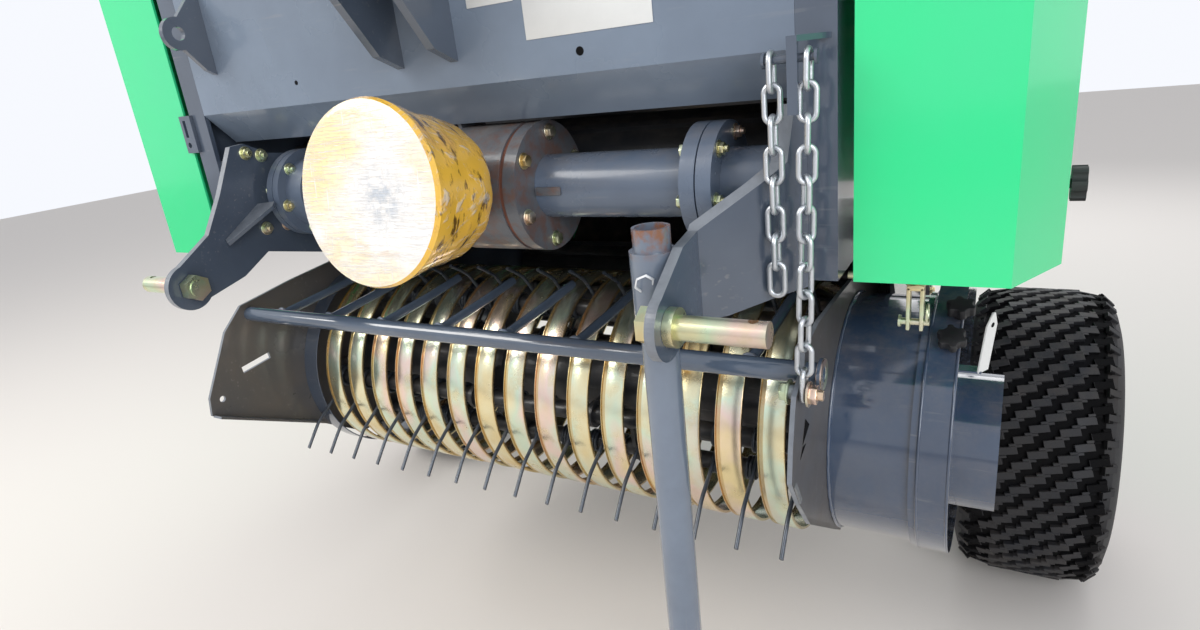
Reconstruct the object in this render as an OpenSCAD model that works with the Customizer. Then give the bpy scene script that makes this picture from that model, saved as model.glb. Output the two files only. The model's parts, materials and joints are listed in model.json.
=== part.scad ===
// Small fixed-chamber round baler carried on a tractor's lower links, parked on its stand.
// +X is the machine's right, -Y faces the tractor, +Z is up, the ground is z = 0.

/* [Bale chamber] */
// Radius of the bale that the rollers enclose
bale_r = 480; // [465:5:480]
// Radius over the ribs of a chamber roller
roller_r = 80; // [74:1:82]
// Wall of a chamber roller tube
roller_wall = 8; // [5:1:12]
// Height of the chamber centre above the ground
chamber_z = 1080; // [1075:5:1100]
// Distance of the chamber centre behind the reel axis
chamber_back = 516; // [515:1:525]
// Half width over the two side frame plates
frame_half = 574; // [570:1:580]
// Thickness of the side frame plates
side_t = 8; // [6:1:10]
// Thickness of folded sheet metal
sheet_t = 4; // [3:0.5:5]

/* [Front and hitch] */
// Distance of the front panel ahead of the reel axis
panel_ahead = 288; // [285:1:295]
// Height of the folded lower edge of the front panel
panel_low = 1103; // [1095:1:1115]
// Height of the top of the front panel
panel_top = 1560; // [1540:5:1580]
// Distance of the lower hitch pins ahead of the reel axis
pin_ahead = 459; // [450:1:470]
// Height of the lower hitch pins
pin_z = 839; // [830:1:850]
// Radius of the lower hitch pins, category 2
pin_r = 14; // [11:0.5:14]
// Free length of a lower hitch pin
pin_free = 96; // [80:1:120]
// Distance from the centre plane to the outer face of a lower hitch plate
hitch_half = 436; // [432:1:440]
// Thickness of the hitch plates
hitch_t = 12; // [10:1:16]
// Height of the upper hitch hole
top_pin_z = 1404; // [1390:1:1420]
// Radius of the upper hitch hole, category 2
top_pin_r = 13; // [10:0.5:14]
// Clear gap between the two upper hitch plates
top_gap = 86; // [60:1:95]

/* [Drive] */
// Height of the gearbox and its cross tubes
drive_z = 950; // [945:1:955]
// Distance of the gearbox axis ahead of the reel axis
drive_ahead = 215; // [212:1:218]
// Radius of the cross tubes
tube_r = 46; // [42:1:50]
// Radius of the bolted flanges
flange_r = 78; // [72:1:80]
// Radius of the round gearbox housing
gearbox_r = 95; // [88:1:98]
// Radius of the mouth of the PTO shaft guard
guard_r = 118; // [100:1:124]
// Length of the PTO shaft guard
guard_len = 140; // [120:1:150]

/* [Pickup] */
// Height of the reel axis with the chain at its transport link
reel_z = 537; // [530:1:545]
// Distance between neighbouring tines
tine_pitch = 66; // [64:1:68]
// Number of tines in a row
tines_per_row = 16; // [14:2:16]
// Radius of a tine's wire
tine_r = 3.3; // [2.5:0.1:4]
// Outer radius of the stripper bands
band_r = 209; // [204:1:212]
// Width of a stripper band
band_w = 42; // [36:1:44]
// Distance from the centre plane to the inner face of the left pickup side plate
pickup_half = 545; // [543:1:547]
// Distance from the centre plane to the inner face of the right pickup side plate
pickup_right = 532; // [530:1:534]
// Thickness of the pickup side plates
pickup_t = 6; // [5:0.5:8]
// Radius of the drive drum beside the pickup
drum_r = 190; // [180:1:194]
// Radius of the wind guard bar
guard_bar_r = 14; // [11:0.5:16]

/* [Wheels and stand] */
// Radius of the tyres
tyre_r = 295; // [288:1:300]
// Width of the tyres
tyre_w = 256; // [230:2:262]
// Half of the track width
track_half = 811; // [805:1:820]
// Distance of the wheel axis behind the reel axis
axle_back = 480; // [475:1:500]
// Radius of the parking stand's tube
stand_r = 22; // [20:0.5:23]

/* [Chain] */
// Inner length of one chain link
link_pitch = 32.8; // [32:0.1:33.5]
// Radius of the chain wire
link_wire = 3.2; // [3:0.1:3.6]
// Links in the free tail
tail_links = 8; // [5:1:9]

/* [Covers] */
// Height of the lower edge of the side covers
cover_low = 844; // [840:1:850]
// Height of the top of the side covers
cover_top = 1494; // [1492:1:1498]
// Width of a side cover
cover_w = 205; // [195:1:215]
// Length of a side cover
cover_len = 660; // [600:5:680]

/* [Hidden] */
$fn = 48;
gap = 0.3;
run = 5.5;
axle_half = 40;
front_reach = 514;
frame_r = bale_r + 2 * roller_r + 24;
rear_reach = chamber_back + frame_r + sheet_t;
reel_y = (front_reach - rear_reach) / 2;
panel_y = reel_y - panel_ahead;
pin_y = reel_y - pin_ahead;
drive_y = reel_y - drive_ahead;
axle_y = reel_y + axle_back;
chamber_y = reel_y + chamber_back;
roller_ring = bale_r + roller_r + 2;
frame_in = frame_half - side_t;
split_y = chamber_y - 40;
lid_pivot = [split_y - 5, chamber_z + frame_r + 36];
front_rollers = [192, 174.6, 157.2, 139.8, 122.4, 105, 268, 288];
gate_rollers = [84, 66.6, 49.2, 31.8, 14.4, -3, -20.4, -37.8];
pickup_pivot = [reel_y + 330, 760];
beam = [reel_y + 350, reel_z + 28];
beam_r = 40;
wind = [reel_y - 295, reel_z + 190];
cover_y = panel_y;
stand_x = hitch_half - hitch_t - stand_r - 5;
stand_y = pin_y + 54;
post_w = 44;
cyl_base = [panel_y + cover_len + 74, 1200];
cyl_eye = [chamber_y + 105, 1664];
cyl_x = frame_half + 46;
drum_len = 120;
case_x = pickup_right + pickup_t + drum_len + gap;
case_w = 38;
arm_x = max(frame_half, pickup_half + pickup_t + 10) + 32;
nose_tilt = 8.5;
lower_split = -62;
shaft_r = 20;
cover_hinge = [frame_half + 26, cover_top + 14];
cover_in = frame_half + 17;
cover_ears = [panel_y + 90, panel_y + cover_len - 130];
hook_z = 1110;
loaded_links = 12;
peg_r = 4.5;
bolt_r = 5;
peg = [frame_half - 21, panel_y - 37.3, hook_z - 16];
chain_reach = loaded_links * (link_pitch - gap) - gap - peg_r - bolt_r;
chain_in = peg[0] - pickup_right - pickup_t - link_wire - 1.3;
chain_out = 1.7;
bolt = [
    peg[0] - chain_in, peg[1] - chain_out, peg[2] - sqrt(chain_reach ^ 2 - chain_in ^ 2 - chain_out ^ 2)
];

// Draws a (y, z) outline and extrudes it along X from x0
module slab(x0, len) {
    translate([x0, 0, 0]) rotate([90, 0, 90]) linear_extrude(len) children();
}

// Round bar along X
module rod_x(x0, len, p, r) {
    translate([x0, p[0], p[1]]) rotate([0, 90, 0]) cylinder(h = len, r = r);
}

// Round bar along Y
module rod_y(x, y0, len, z, r) {
    translate([x, y0, z]) rotate([-90, 0, 0]) cylinder(h = len, r = r);
}

// Round bar between two points
module bar(a, b, r, fn = 16) {
    d = b - a;
    len = norm(d);
    translate(a) rotate([0, acos(d[2] / len), atan2(d[1], d[0])]) cylinder(h = len, r = r, $fn = fn);
}

function polar(c, r, a) = [c[0] + r * cos(a), c[1] + r * sin(a)];
chamber = [chamber_y, chamber_z];
reel = [reel_y, reel_z];
axle = [axle_y, tyre_r];

// Side frame

module side_outline() {
    difference() {
        union() {
            translate(chamber) circle(r = frame_r, $fn = 128);
            polygon([
                [panel_y, cover_low], [panel_y, panel_top], [reel_y + 60, panel_top + 120],
                [split_y, chamber_z + frame_r - 4], [split_y, cover_low], [reel_y + 120, cover_low - 84]
            ]);
            // bracket down to the axle
            polygon([
                [axle_y - 74, tyre_r + 175], [axle_y - 60, tyre_r + axle_half], [axle_y + 60, tyre_r + axle_half],
                [axle_y + 74, tyre_r + 175]
            ]);
        }
        // lower front corner left open for the pickup and its drum
        polygon([
            [reel_y - 420, 300], [reel_y - 420, cover_low], [reel_y + 60, cover_low],
            [reel_y + 120, cover_low - 84], [reel_y + 330, 480], [reel_y + 330, 300]
        ]);
        // the tailgate's part, parted along a line down to the centre and a ray below it
        polygon([
            [split_y, 3000], [split_y, chamber_z], polar([split_y, chamber_z], 3000, lower_split),
            [split_y + 3000, 3000]
        ]);
    }
}

module side_frame(side) {
    color("#3b434b") mirror([side > 0 ? 0 : 1, 0, 0]) {
        difference() {
            slab(frame_in, side_t) union() {
                side_outline();
                // ear of the tailgate hinge
                polygon([
                    [split_y - 120, chamber_z + frame_r - 40], [lid_pivot[0] - 24, lid_pivot[1] + 14],
                    [lid_pivot[0], lid_pivot[1]], [split_y, chamber_z + frame_r - 40]
                ]);
                translate(lid_pivot) circle(r = 28);
            }
            for (a = front_rollers) rod_x(frame_in - 1, side_t + 2, polar(chamber, roller_ring, a), shaft_r + 0.1);
        }
        // front post, the folded edge of the plate
        translate([frame_half - post_w, panel_y, cover_low]) cube([post_w, 8, panel_top - cover_low]);
    }
}

module side_frame_left() side_frame(-1);
module side_frame_right() side_frame(1);

// Stub shafts on the side frame and the hinge ears of the side cover
module frame_stubs(side, pivot_len) {
    face = frame_half + gap;
    color("#3b434b") mirror([side > 0 ? 0 : 1, 0, 0]) {
        rod_x(face, run + 15, lid_pivot, 16);
        rod_x(face, pivot_len, pickup_pivot, 25);
        rod_x(face, cyl_x + 15 - frame_half, cyl_base, 14);
        for (y = cover_ears) difference() {
            union() {
                translate([face, y, cover_hinge[1] - 8]) cube([cover_hinge[0] - face, 30, 16]);
                rod_y(cover_hinge[0], y, 30, cover_hinge[1], 8);
            }
            rod_y(cover_hinge[0], y - 1, 32, cover_hinge[1], 5.1);
        }
    }
}

module frame_stubs_left() frame_stubs(-1, arm_x + 10 - frame_half);
module frame_stubs_right() frame_stubs(1, case_x + case_w + 4 - frame_half);

// Front panel with its folded lip and its top shelf

module front_panel() {
    color("#56616c") {
        slab(-frame_half + post_w + gap, 2 * (frame_half - post_w - gap)) polygon([
            [panel_y, panel_low], [panel_y, panel_top], [panel_y + 40, panel_top],
            [panel_y + 40, panel_top - sheet_t], [panel_y + sheet_t, panel_top - sheet_t],
            [panel_y + sheet_t, panel_low + 1], [panel_y + 52, panel_low - 50],
            [panel_y + 49, panel_low - 53]
        ]);
    }
}

// Upper hitch

top_pin = [pin_y - 19, top_pin_z];

module top_hitch_outline() {
    difference() {
        union() {
            translate(top_pin) circle(r = 36);
            polygon([
                [panel_y, 1136], [panel_y - 44, 1154], [top_pin[0] - 31, top_pin[1] - 18],
                [top_pin[0] - 8, top_pin[1] + 35], [panel_y, 1500]
            ]);
        }
        translate(top_pin) circle(r = top_pin_r);
    }
}

module top_hitch() {
    color("#3b434b") for (x = [12 - top_gap / 2 - 14, 12 + top_gap / 2]) slab(x, 14) top_hitch_outline();
}

// Lower hitch plates: the left one is flat, the right one bends outward to the post

module hitch_plate_left() {
    color("#39414a") {
        slab(-hitch_half, hitch_t) difference() {
            union() {
                translate([pin_y, pin_z]) circle(r = 38);
                polygon([
                    [pin_y - 30, pin_z + 24], [reel_y - 406, 914], [reel_y - 367, 974], [reel_y - 326, 1048],
                    [reel_y - 300, 1050], [reel_y - 255, 1028], [reel_y - 130, 1010], [reel_y - 130, 880],
                    [reel_y - 178, 824], [reel_y - 305, 859], [reel_y - 361, 829], [pin_y + 28, pin_z - 26]
                ]);
            }
            translate([pin_y, pin_z]) circle(r = pin_r + 0.05);
            translate([drive_y, drive_z]) circle(r = 40);
        }
        // web to the front post
        translate([-frame_in + gap, panel_y + 8 + gap, 880]) cube([frame_in - gap - hitch_half, 8, 140]);
        // gusset
        translate([-hitch_half + hitch_t, reel_y - 376, 894]) rotate([31, 0, 0])
            linear_extrude(6) polygon([[0, 0], [14, -8], [46, 84], [40, 96], [0, 90]]);
    }
}

module hitch_plate_right() {
    bend_y = panel_y - 77;
    color("#39414a") difference() {
        intersection() {
            // plan: along the pin side, then out to the post
            linear_extrude(2000) polygon([
                [hitch_half, pin_y - 60], [hitch_half, bend_y], [frame_half - 33, panel_y - gap],
                [frame_half - 52, panel_y - gap], [hitch_half - hitch_t, bend_y + 6],
                [hitch_half - hitch_t, pin_y - 60]
            ]);
            slab(300, 300) polygon(concat([for (a = [295:-7.4:110]) polar([pin_y, pin_z], 38, a)], [
                [pin_y + 50, pin_z + 74], [bend_y, pin_z + 82], [panel_y - 32, pin_z + 126],
                [panel_y - 14, pin_z + 146], [panel_y - 8, pin_z + 208], [panel_y, pin_z + 208],
                [panel_y, pin_z - 3], [panel_y - 22, pin_z - 10], [panel_y - 59, pin_z - 25],
                [pin_y + 50, pin_z - 31]
            ]));
        }
        rod_x(300, 300, [pin_y, pin_z], pin_r + 0.05);
    }
}

module hitch_pin(side) {
    c = [pin_y, pin_z];
    out = hitch_half;
    color("#c9b458") mirror([side > 0 ? 0 : 1, 0, 0]) {
        difference() {
            rod_x(out - hitch_t - 22, hitch_t + 34 + pin_free, c, pin_r);
            translate([out + 12 + pin_free - 16, pin_y, pin_z - 30]) cylinder(h = 60, r = 5.5, $fn = 24);
        }
        difference() {
            rod_x(out + gap, 11, c, 22);
            rod_x(out, 12, c, pin_r - 1);
        }
        difference() {
            translate([out - hitch_t - 20, pin_y, pin_z]) rotate([0, 90, 0]) cylinder(h = 18, r = 22, $fn = 6);
            rod_x(out - hitch_t - 21, 20, c, pin_r - 1);
        }
    }
}

module hitch_pin_left() hitch_pin(-1);
module hitch_pin_right() hitch_pin(1);

// Drive across the front

module gearbox() {
    c = [drive_y, drive_z];
    color("#434b53") {
        rod_x(-20, 40, c, gearbox_r - 12);
        rod_x(10, 110, c, gearbox_r);
        rod_x(118, 10, c, gearbox_r - 4);
        rod_x(127, 20, c, gearbox_r);
        translate([40, drive_y, drive_z]) rotate([90 - nose_tilt, 0, 0]) cylinder(h = 128, r = 58);
    }
}

module pto_guard() {
    color("#e2b43c") translate([40, drive_y, drive_z]) rotate([90 - nose_tilt, 0, 0])
        translate([0, 0, 128 + gap]) rotate_extrude($fn = 64) polygon([
            [0, 0], [70, 0], [78, 12], [guard_r - 6, guard_len - 34], [guard_r, guard_len - 20],
            [guard_r - 3, guard_len - 3], [guard_r - 14, guard_len], [0, guard_len + 1]
        ]);
}

module cross_tubes() {
    c = [drive_y, drive_z];
    color("#454e57") {
        rod_x(147 + gap, 238 - gap, c, tube_r);
        rod_x(384, 20, c, flange_r);
        rod_x(406, 20, c, flange_r);
        rod_x(400, 10, c, flange_r - 8);
        rod_x(425, frame_in - 425 - gap, c, tube_r - 2);
        rod_x(-374, 354 - gap, c, tube_r);
        rod_x(-405, 14, c, flange_r);
        rod_x(-392, 4, c, flange_r - 8);
        rod_x(-389, 14, c, flange_r);
        rod_x(-376, 40, c, flange_r - 16);
        rod_x(-hitch_half + hitch_t + gap, hitch_half - hitch_t - 404 - gap, c, 52);
    }
}

// Chamber rollers

module roller(p, from, to) {
    color("#3f464d") {
        difference() {
            union() {
                rod_x(from, to - from, p, roller_r - 10);
                for (k = [0:7]) translate([from, p[0], p[1]]) rotate([k * 45, 0, 0])
                    translate([0, -4, roller_r - 20]) cube([to - from, 8, 20]);
            }
            rod_x(from - 1, to - from + 2, p, roller_r - 10 - roller_wall);
        }
        for (x = [from, to - 8]) difference() {
            rod_x(x, 8, p, roller_r - 10 - roller_wall + 1);
            rod_x(x - 1, 10, [p[0], p[1] + 40], 9);
        }
        rod_x(-frame_half - 14, from + frame_half + 15, p, shaft_r);
        rod_x(to - 1, frame_half + 15 - to, p, shaft_r);
    }
}

module front_rollers() {
    for (a = front_rollers) roller(polar(chamber, roller_ring, a), -frame_in + 5, frame_in - 5);
}

module gate_rollers() {
    for (a = gate_rollers) roller(polar(chamber, roller_ring, a), -frame_in + 5, frame_in - 5);
}

module front_bearings() {
    color("#5a636c") for (side = [-1, 1], a = front_rollers)
        difference() {
            rod_x(side > 0 ? frame_half + gap : -frame_half - 12 - gap, 12, polar(chamber, roller_ring, a), 42);
            rod_x(side > 0 ? frame_half : -frame_half - 14, 14, polar(chamber, roller_ring, a), shaft_r + 0.1);
        }
}

// Axle beam under the chamber with its stub ends

module axle_beam() {
    color("#2f363d") {
        difference() {
            translate([-frame_half - 46, axle_y - axle_half, tyre_r - axle_half])
                cube([2 * frame_half + 92, 2 * axle_half, 2 * axle_half]);
            translate([-frame_half - 47, axle_y - axle_half + 6, tyre_r - axle_half + 6])
                cube([2 * frame_half + 94, 2 * axle_half - 12, 2 * axle_half - 12]);
        }
        for (side = [-1, 1]) mirror([side > 0 ? 0 : 1, 0, 0]) {
            rod_x(frame_half + 44, track_half - frame_half - 33, axle, 30);
            rod_x(frame_half + 40, 12, axle, 56);
        }
    }
}

// Stand on the right hitch plate

module stand_sleeve() {
    color("#59646e") translate([stand_x, stand_y, pin_z - 24]) difference() {
        cylinder(h = 94, r = stand_r + 5 - 0.1);
        translate([0, 0, -1]) cylinder(h = 96, r = stand_r + 0.1);
    }
}

module parking_stand() {
    color("#525d68") {
        difference() {
            translate([stand_x, stand_y, 5]) cylinder(h = pin_z + 91, r = stand_r);
            translate([stand_x, stand_y, pin_z]) cylinder(h = 130, r = stand_r - 4);
        }
        translate([stand_x, stand_y, 0]) cylinder(h = 8, r = 50);
    }
}

// Chain from the frame to the pickup

module chain_hook() {
    leg = peg[0] - 20;
    front = peg[1] - peg_r - 6.6;
    color("#4a545e") {
        // strap that runs out from the post, bent down into a leg in front of the peg
        translate([0, 0, hook_z]) linear_extrude(6) polygon([
            [leg, front], [leg + 11, front], [frame_half - 6, panel_y - gap], [frame_half - 20, panel_y - gap]
        ]);
        translate([leg, front, hook_z - 72]) cube([11, 6.2, 73]);
        translate([leg + 1, peg[1] - 5, peg[2] - 4]) cube([6, 5, 8]);
        rod_x(leg - 26, 54, [peg[1], peg[2]], peg_r);
        rod_x(leg - 28, 3, [peg[1], peg[2]], 8);
        rod_x(leg + 27, 3, [peg[1], peg[2]], 8);
    }
}

module link(z, turn) {
    r = link_wire + 5.5;
    h = link_pitch / 2 - 5.5;
    translate([0, 0, z]) rotate([0, 0, turn]) {
        for (s = [-1, 1]) {
            translate([s * r, 0, -h]) cylinder(h = 2 * h, r = link_wire, $fn = 24);
            translate([0, 0, s * h]) rotate([s > 0 ? 90 : -90, 0, 0])
                rotate_extrude(angle = 180, $fn = 24) translate([r, 0]) circle(r = link_wire, $fn = 24);
        }
    }
}

// Links hung on the peg at top, in line with low, each turned by step against the one above
module strand(top, low, n, step) {
    d = top - low;
    turn = atan2(d[1], d[0]);
    color("#c9d0d3") translate(top) rotate([0, acos(d[2] / norm(d)), turn]) rotate([0, 0, -turn])
        for (k = [0:n - 1])
            link(peg_r + gap - link_pitch / 2 - k * (link_pitch - gap), 90 + k * step);
}

module lift_chain() strand(peg, bolt, loaded_links, 90 * (1 + 1 / (loaded_links - 1)));
module chain_tail() strand(peg - [39, 0, 0], peg - [39, 0, 100], tail_links, 90);

// Lug with an eye on the left front edge and the small slotted bracket below it

module frame_lug() {
    eye = [panel_y - 50, 1234];
    color("#39414a") {
        slab(-470, 10) difference() {
            union() {
                polygon([
                    [panel_y - gap, 1167], [panel_y - gap, 1300], [panel_y - 16, 1292],
                    [eye[0] + 4, eye[1] + 25], [eye[0] + 4, eye[1] - 25], [panel_y - 16, 1175]
                ]);
                translate(eye) circle(r = 26);
            }
            translate(eye) circle(r = 11);
        }
        // slotted bracket on the left post
        translate([-frame_half - 24, panel_y - 6 - gap, 1040]) difference() {
            cube([32, 6, 66]);
            translate([8, -1, 28]) cube([8, 8, 30]);
            translate([12, -1, 14]) rotate([-90, 0, 0]) cylinder(h = 8, r = 5);
        }
    }
}

// Twine box behind the front panel, with its lid

box_y = [panel_y + 40, panel_y + 250];
box_z = [panel_top - 150, panel_top];
lid_hinge = [box_y[1] + 12, panel_top + 10];

module twine_box() {
    color("#474f57") {
        difference() {
            translate([-430, box_y[0], box_z[0]]) cube([860, box_y[1] - box_y[0], box_z[1] - box_z[0]]);
            translate([-426, box_y[0] + 4, box_z[0] + 4]) cube([852, box_y[1] - box_y[0] - 8, 200]);
        }
        for (x = [-320, 300]) slab(x, 20) difference() {
            union() {
                translate(lid_hinge) circle(r = 12);
                translate([box_y[1] - 2, panel_top - 40]) square([26, 50]);
            }
            translate(lid_hinge) circle(r = 6.1);
        }
    }
}

// Sheet over the top of the front rollers
module top_cover() {
    a = [reel_y - 9, panel_top + 96];
    b = [reel_y + 60, panel_top + 116];
    c = [split_y - 6, chamber_z + frame_r - 8];
    color("#474f57") slab(-frame_in + gap, 2 * (frame_in - gap)) polygon([
        a, b, c, c - [0, sheet_t], b - [0, sheet_t], a - [0, sheet_t]
    ]);
}

module twine_lid() {
    low = panel_top + run + 0.5;
    color("#2fa35a") {
        slab(-440, 880) polygon([
            [panel_y - 9, panel_top - 30], [panel_y - 6, panel_top - 30], [panel_y - 6, low],
            [box_y[1] - 6, low], [box_y[1] - 6, low + sheet_t], [panel_y - 9, low + sheet_t]
        ]);
        rod_x(-440, 880, lid_hinge, 6);
        for (x = [-400, -30, 340]) slab(x, 60) polygon([
            [box_y[1] - 7, low], [lid_hinge[0], lid_hinge[1] - 4], [lid_hinge[0], lid_hinge[1] + 4],
            [box_y[1] - 7, low + sheet_t]
        ]);
    }
}

// Wheels

module tyre(side) {
    sx = side * track_half;
    color("#1c1d1f") translate([sx, axle_y, tyre_r]) rotate([0, 90, 0]) rotate_extrude($fn = 96) polygon([
        [156, -tyre_w * 0.40], [196, -tyre_w * 0.48], [238, -tyre_w * 0.5], [268, -tyre_w * 0.46],
        [tyre_r - 10, -tyre_w * 0.38], [tyre_r, -tyre_w * 0.2], [tyre_r, tyre_w * 0.2],
        [tyre_r - 10, tyre_w * 0.38], [268, tyre_w * 0.46], [238, tyre_w * 0.5],
        [196, tyre_w * 0.48], [156, tyre_w * 0.40]
    ]);
}

module rim(side) {
    seat = tyre_w * 0.4 + 2.1;
    color("#d8d5cc") translate([side * track_half, axle_y, tyre_r]) rotate([0, side > 0 ? 90 : -90, 0]) {
        difference() {
            rotate_extrude($fn = 96) polygon([
                [168, -seat - 5.5], [155, -seat], [155, seat], [168, seat + 5.5], [168, seat + 9.5],
                [149, seat + 4.5], [146, 60], [140, 30], [100, 24], [30.1, 24], [30.1, 16], [102, 16],
                [132, 22], [138, -60], [149, -seat - 4.5], [168, -seat - 9.5]
            ]);
            for (k = [0:4]) rotate([0, 0, k * 72]) translate([62, 0, 10]) cylinder(h = 20, r = 8);
        }
        difference() {
            translate([0, 0, -60]) cylinder(h = 108, r = 46);
            translate([0, 0, -61]) cylinder(h = 75, r = 30.1);
        }
    }
}

module tyre_left() tyre(-1);
module tyre_right() tyre(1);
module wheel_rims_left() rim(-1);
module wheel_rims_right() rim(1);

// Pickup side plates

module left_plate_outline() {
    polygon([
        [reel_y - 312, 748], [reel_y - 356, 710], [reel_y - 420, 600], [reel_y - 425, 566],
        [reel_y - 312, 504], [reel_y - 194, 434], [reel_y - 100, 366], [reel_y + 100, 366],
        [reel_y + 260, 500], [beam[0] + 48, beam[1] - 48], [beam[0] + 48, beam[1] + 48],
        [reel_y + 150, 762], [reel_y - 74, 774], [reel_y - 188, 764]
    ]);
}

module pickup_plate_left() {
    color("#39414a") {
        slab(-pickup_half - pickup_t, pickup_t) difference() {
            left_plate_outline();
            translate(reel) circle(r = 30.1);
            translate(wind) circle(r = guard_bar_r + 0.1);
            translate([reel_y - 311, 629]) rotate(6) square([64, 13], center = true);
            translate([reel_y - 397, 589]) circle(r = 6);
        }
        // inward fold along the lower front edge
        translate([-pickup_half - gap, reel_y - 424, 563]) rotate([-28.75, 0, 0]) cube([24, 250, 4]);
    }
}

module right_plate_outline() {
    polygon([
        [reel_y - 300, 758], [reel_y - 306, 735], [reel_y - 344, 717], [reel_y - 350, 702],
        [reel_y - 364, 656],
        [reel_y - 372, 614], [reel_y - 340, 566], [reel_y - 288, 502], [reel_y - 144, 397],
        [reel_y - 100, 366], [reel_y + 100, 366], [reel_y + 260, 500], [beam[0] + 48, beam[1] - 48],
        [beam[0] + 48, beam[1] + 48], [reel_y + 150, 752], [reel_y - 84, 764], [reel_y - 229, 769]
    ]);
}

module pickup_plate_right() {
    color("#39414a") {
        slab(pickup_right, pickup_t) difference() {
            right_plate_outline();
            translate(reel) circle(r = 30.1);
            translate(wind) circle(r = guard_bar_r + 0.1);
        }
        // chain bolt on the front edge
        rod_x(pickup_right - 10, bolt[0] + 20 - pickup_right, [bolt[1], bolt[2]], bolt_r);
        for (x = [pickup_right - 6, bolt[0] + link_wire + 1]) rod_x(x, 5.5, [bolt[1], bolt[2]], 9);
    }
}

// Stripper bands: belts round the reel circle and the rear beam

module belt_outline(big, small) {
    d = beam - reel;
    len = norm(d);
    turn = atan2(d[1], d[0]);
    open = acos((big - small) / len);
    translate(reel) circle(r = big, $fn = 96);
    translate(beam) circle(r = small, $fn = 48);
    polygon([
        polar(reel, big, turn + open), polar(beam, small, turn + open),
        polar(beam, small, turn - open), polar(reel, big, turn - open)
    ]);
}

module stripper_bands() {
    n = tines_per_row - 1;
    color("#c8b46a") for (k = [0:n - 1])
        slab((k - (n - 1) / 2) * tine_pitch - band_w / 2, band_w) difference() {
            belt_outline(band_r, beam_r + gap + 3);
            belt_outline(band_r - 3, beam_r + gap);
        }
}

module pickup_beam() {
    color("#333a41") difference() {
        rod_x(-pickup_half + gap, pickup_half + pickup_right - 2 * gap, beam, beam_r);
        rod_x(-pickup_half, pickup_half + pickup_right, beam, beam_r - 6);
    }
}

// Drive drum, chain case and arms on both ends of the pickup

module drive_drum() {
    color("#3f4954") difference() {
        union() {
            rod_x(pickup_right + pickup_t + gap, drum_len - 10, reel, drum_r);
            rod_x(pickup_right + pickup_t + drum_len - 12, 12, reel, drum_r + 6);
        }
        rod_x(pickup_right, drum_len, reel, drum_r - 5);
    }
}

module chain_case() {
    cap = [reel_y - 16, reel_z - 20];
    color("#465059") {
        difference() {
            union() {
                slab(case_x, case_w) union() {
                    translate(reel) circle(r = drum_r + 8, $fn = 96);
                    polygon([
                        polar(reel, drum_r + 8, 110), polar(pickup_pivot, 60, 125),
                        polar(pickup_pivot, 60, -55), polar(reel, drum_r + 8, -40)
                    ]);
                    translate(pickup_pivot) circle(r = 60);
                }
                rod_x(case_x + case_w - 1, 55, cap, 102);
            }
            rod_x(case_x + case_w + 22, 60, cap, 34);
            rod_x(case_x - 1, case_w + 2, pickup_pivot, 25.1);
        }
        // shaft head in the recess
        rod_x(case_x + case_w + 20, 12, cap, 20);
    }
}

module pickup_arm_left() {
    x0 = -pickup_half - pickup_t;
    color("#465059") {
        difference() {
            union() {
                rod_x(-arm_x, arm_x + x0 - gap, reel, 90);
                slab(-arm_x, 10) union() {
                    translate(reel) circle(r = 90);
                    polygon([
                        polar(reel, 90, 125), polar(pickup_pivot, 50, 125), polar(pickup_pivot, 50, -55),
                        polar(reel, 90, -55)
                    ]);
                    translate(pickup_pivot) circle(r = 50);
                }
            }
            rod_x(-arm_x - 8, 200, reel, 30.1);
            rod_x(-arm_x - 8, 30, pickup_pivot, 25.1);
        }
    }
}

// Reel: columns are tip angle, tip radius and how far the bar runs ahead of the tips

rows = [[201, 302, 21], [118, 261, 22], [25, 250, 22], [292, 262, 22]];
row_bar_r = 148;
row_tube_r = 16;
reel_end = [-pickup_half + 12, pickup_right - 12];

function bar_at(row) = polar(reel, row_bar_r, row[0] - row[2]);

module reel_core() {
    color("#23272b") {
        rod_x(reel_end[0] - pickup_t - 16, reel_end[1] - reel_end[0] + 2 * pickup_t + 32, reel, 30);
        rod_x(reel_end[0], reel_end[1] - reel_end[0], reel, 62);
        for (x = [reel_end[0], -2 * tine_pitch - 4, 2 * tine_pitch - 4, reel_end[1] - 8]) slab(x, 8) {
            translate(reel) circle(r = 74);
            for (row = rows) {
                a = row[0] - row[2];
                translate(bar_at(row)) circle(r = row_tube_r + 8);
                polygon([
                    polar(reel, 70, a - 25), polar(bar_at(row), 20, a - 90), polar(bar_at(row), 20, a + 90),
                    polar(reel, 70, a + 25)
                ]);
            }
        }
        for (row = rows) rod_x(reel_end[0], reel_end[1] - reel_end[0], bar_at(row), row_tube_r);
    }
}

// Wire outline in the (y, z) plane: straight out, then a kink back towards the tip
module tine_outline(row) {
    base = bar_at(row);
    tip = polar(reel, row[1], row[0]);
    along = tip - base;
    side = [along[1], -along[0]] / norm(along);
    kink = base + along * 0.66 + side * 9;
    polygon([
        base - side * tine_r, base + side * tine_r, kink + side * tine_r, tip + side * tine_r,
        tip - side * tine_r, kink - side * tine_r
    ]);
}

module tine(x, row) {
    base = bar_at(row);
    slab(x - tine_r, 2 * tine_r) difference() {
        tine_outline(row);
        translate(base) circle(r = row_tube_r + gap);
    }
    // spring coil round the bar
    slab(x - 13, 26) translate(base) difference() {
        circle(r = row_tube_r + 7);
        circle(r = row_tube_r + gap);
    }
}

module reel_tines() {
    color("#2b3036") for (row = rows, i = [0:tines_per_row - 1])
        tine((i - (tines_per_row - 1) / 2) * tine_pitch, row);
}

// Wind guard

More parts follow.
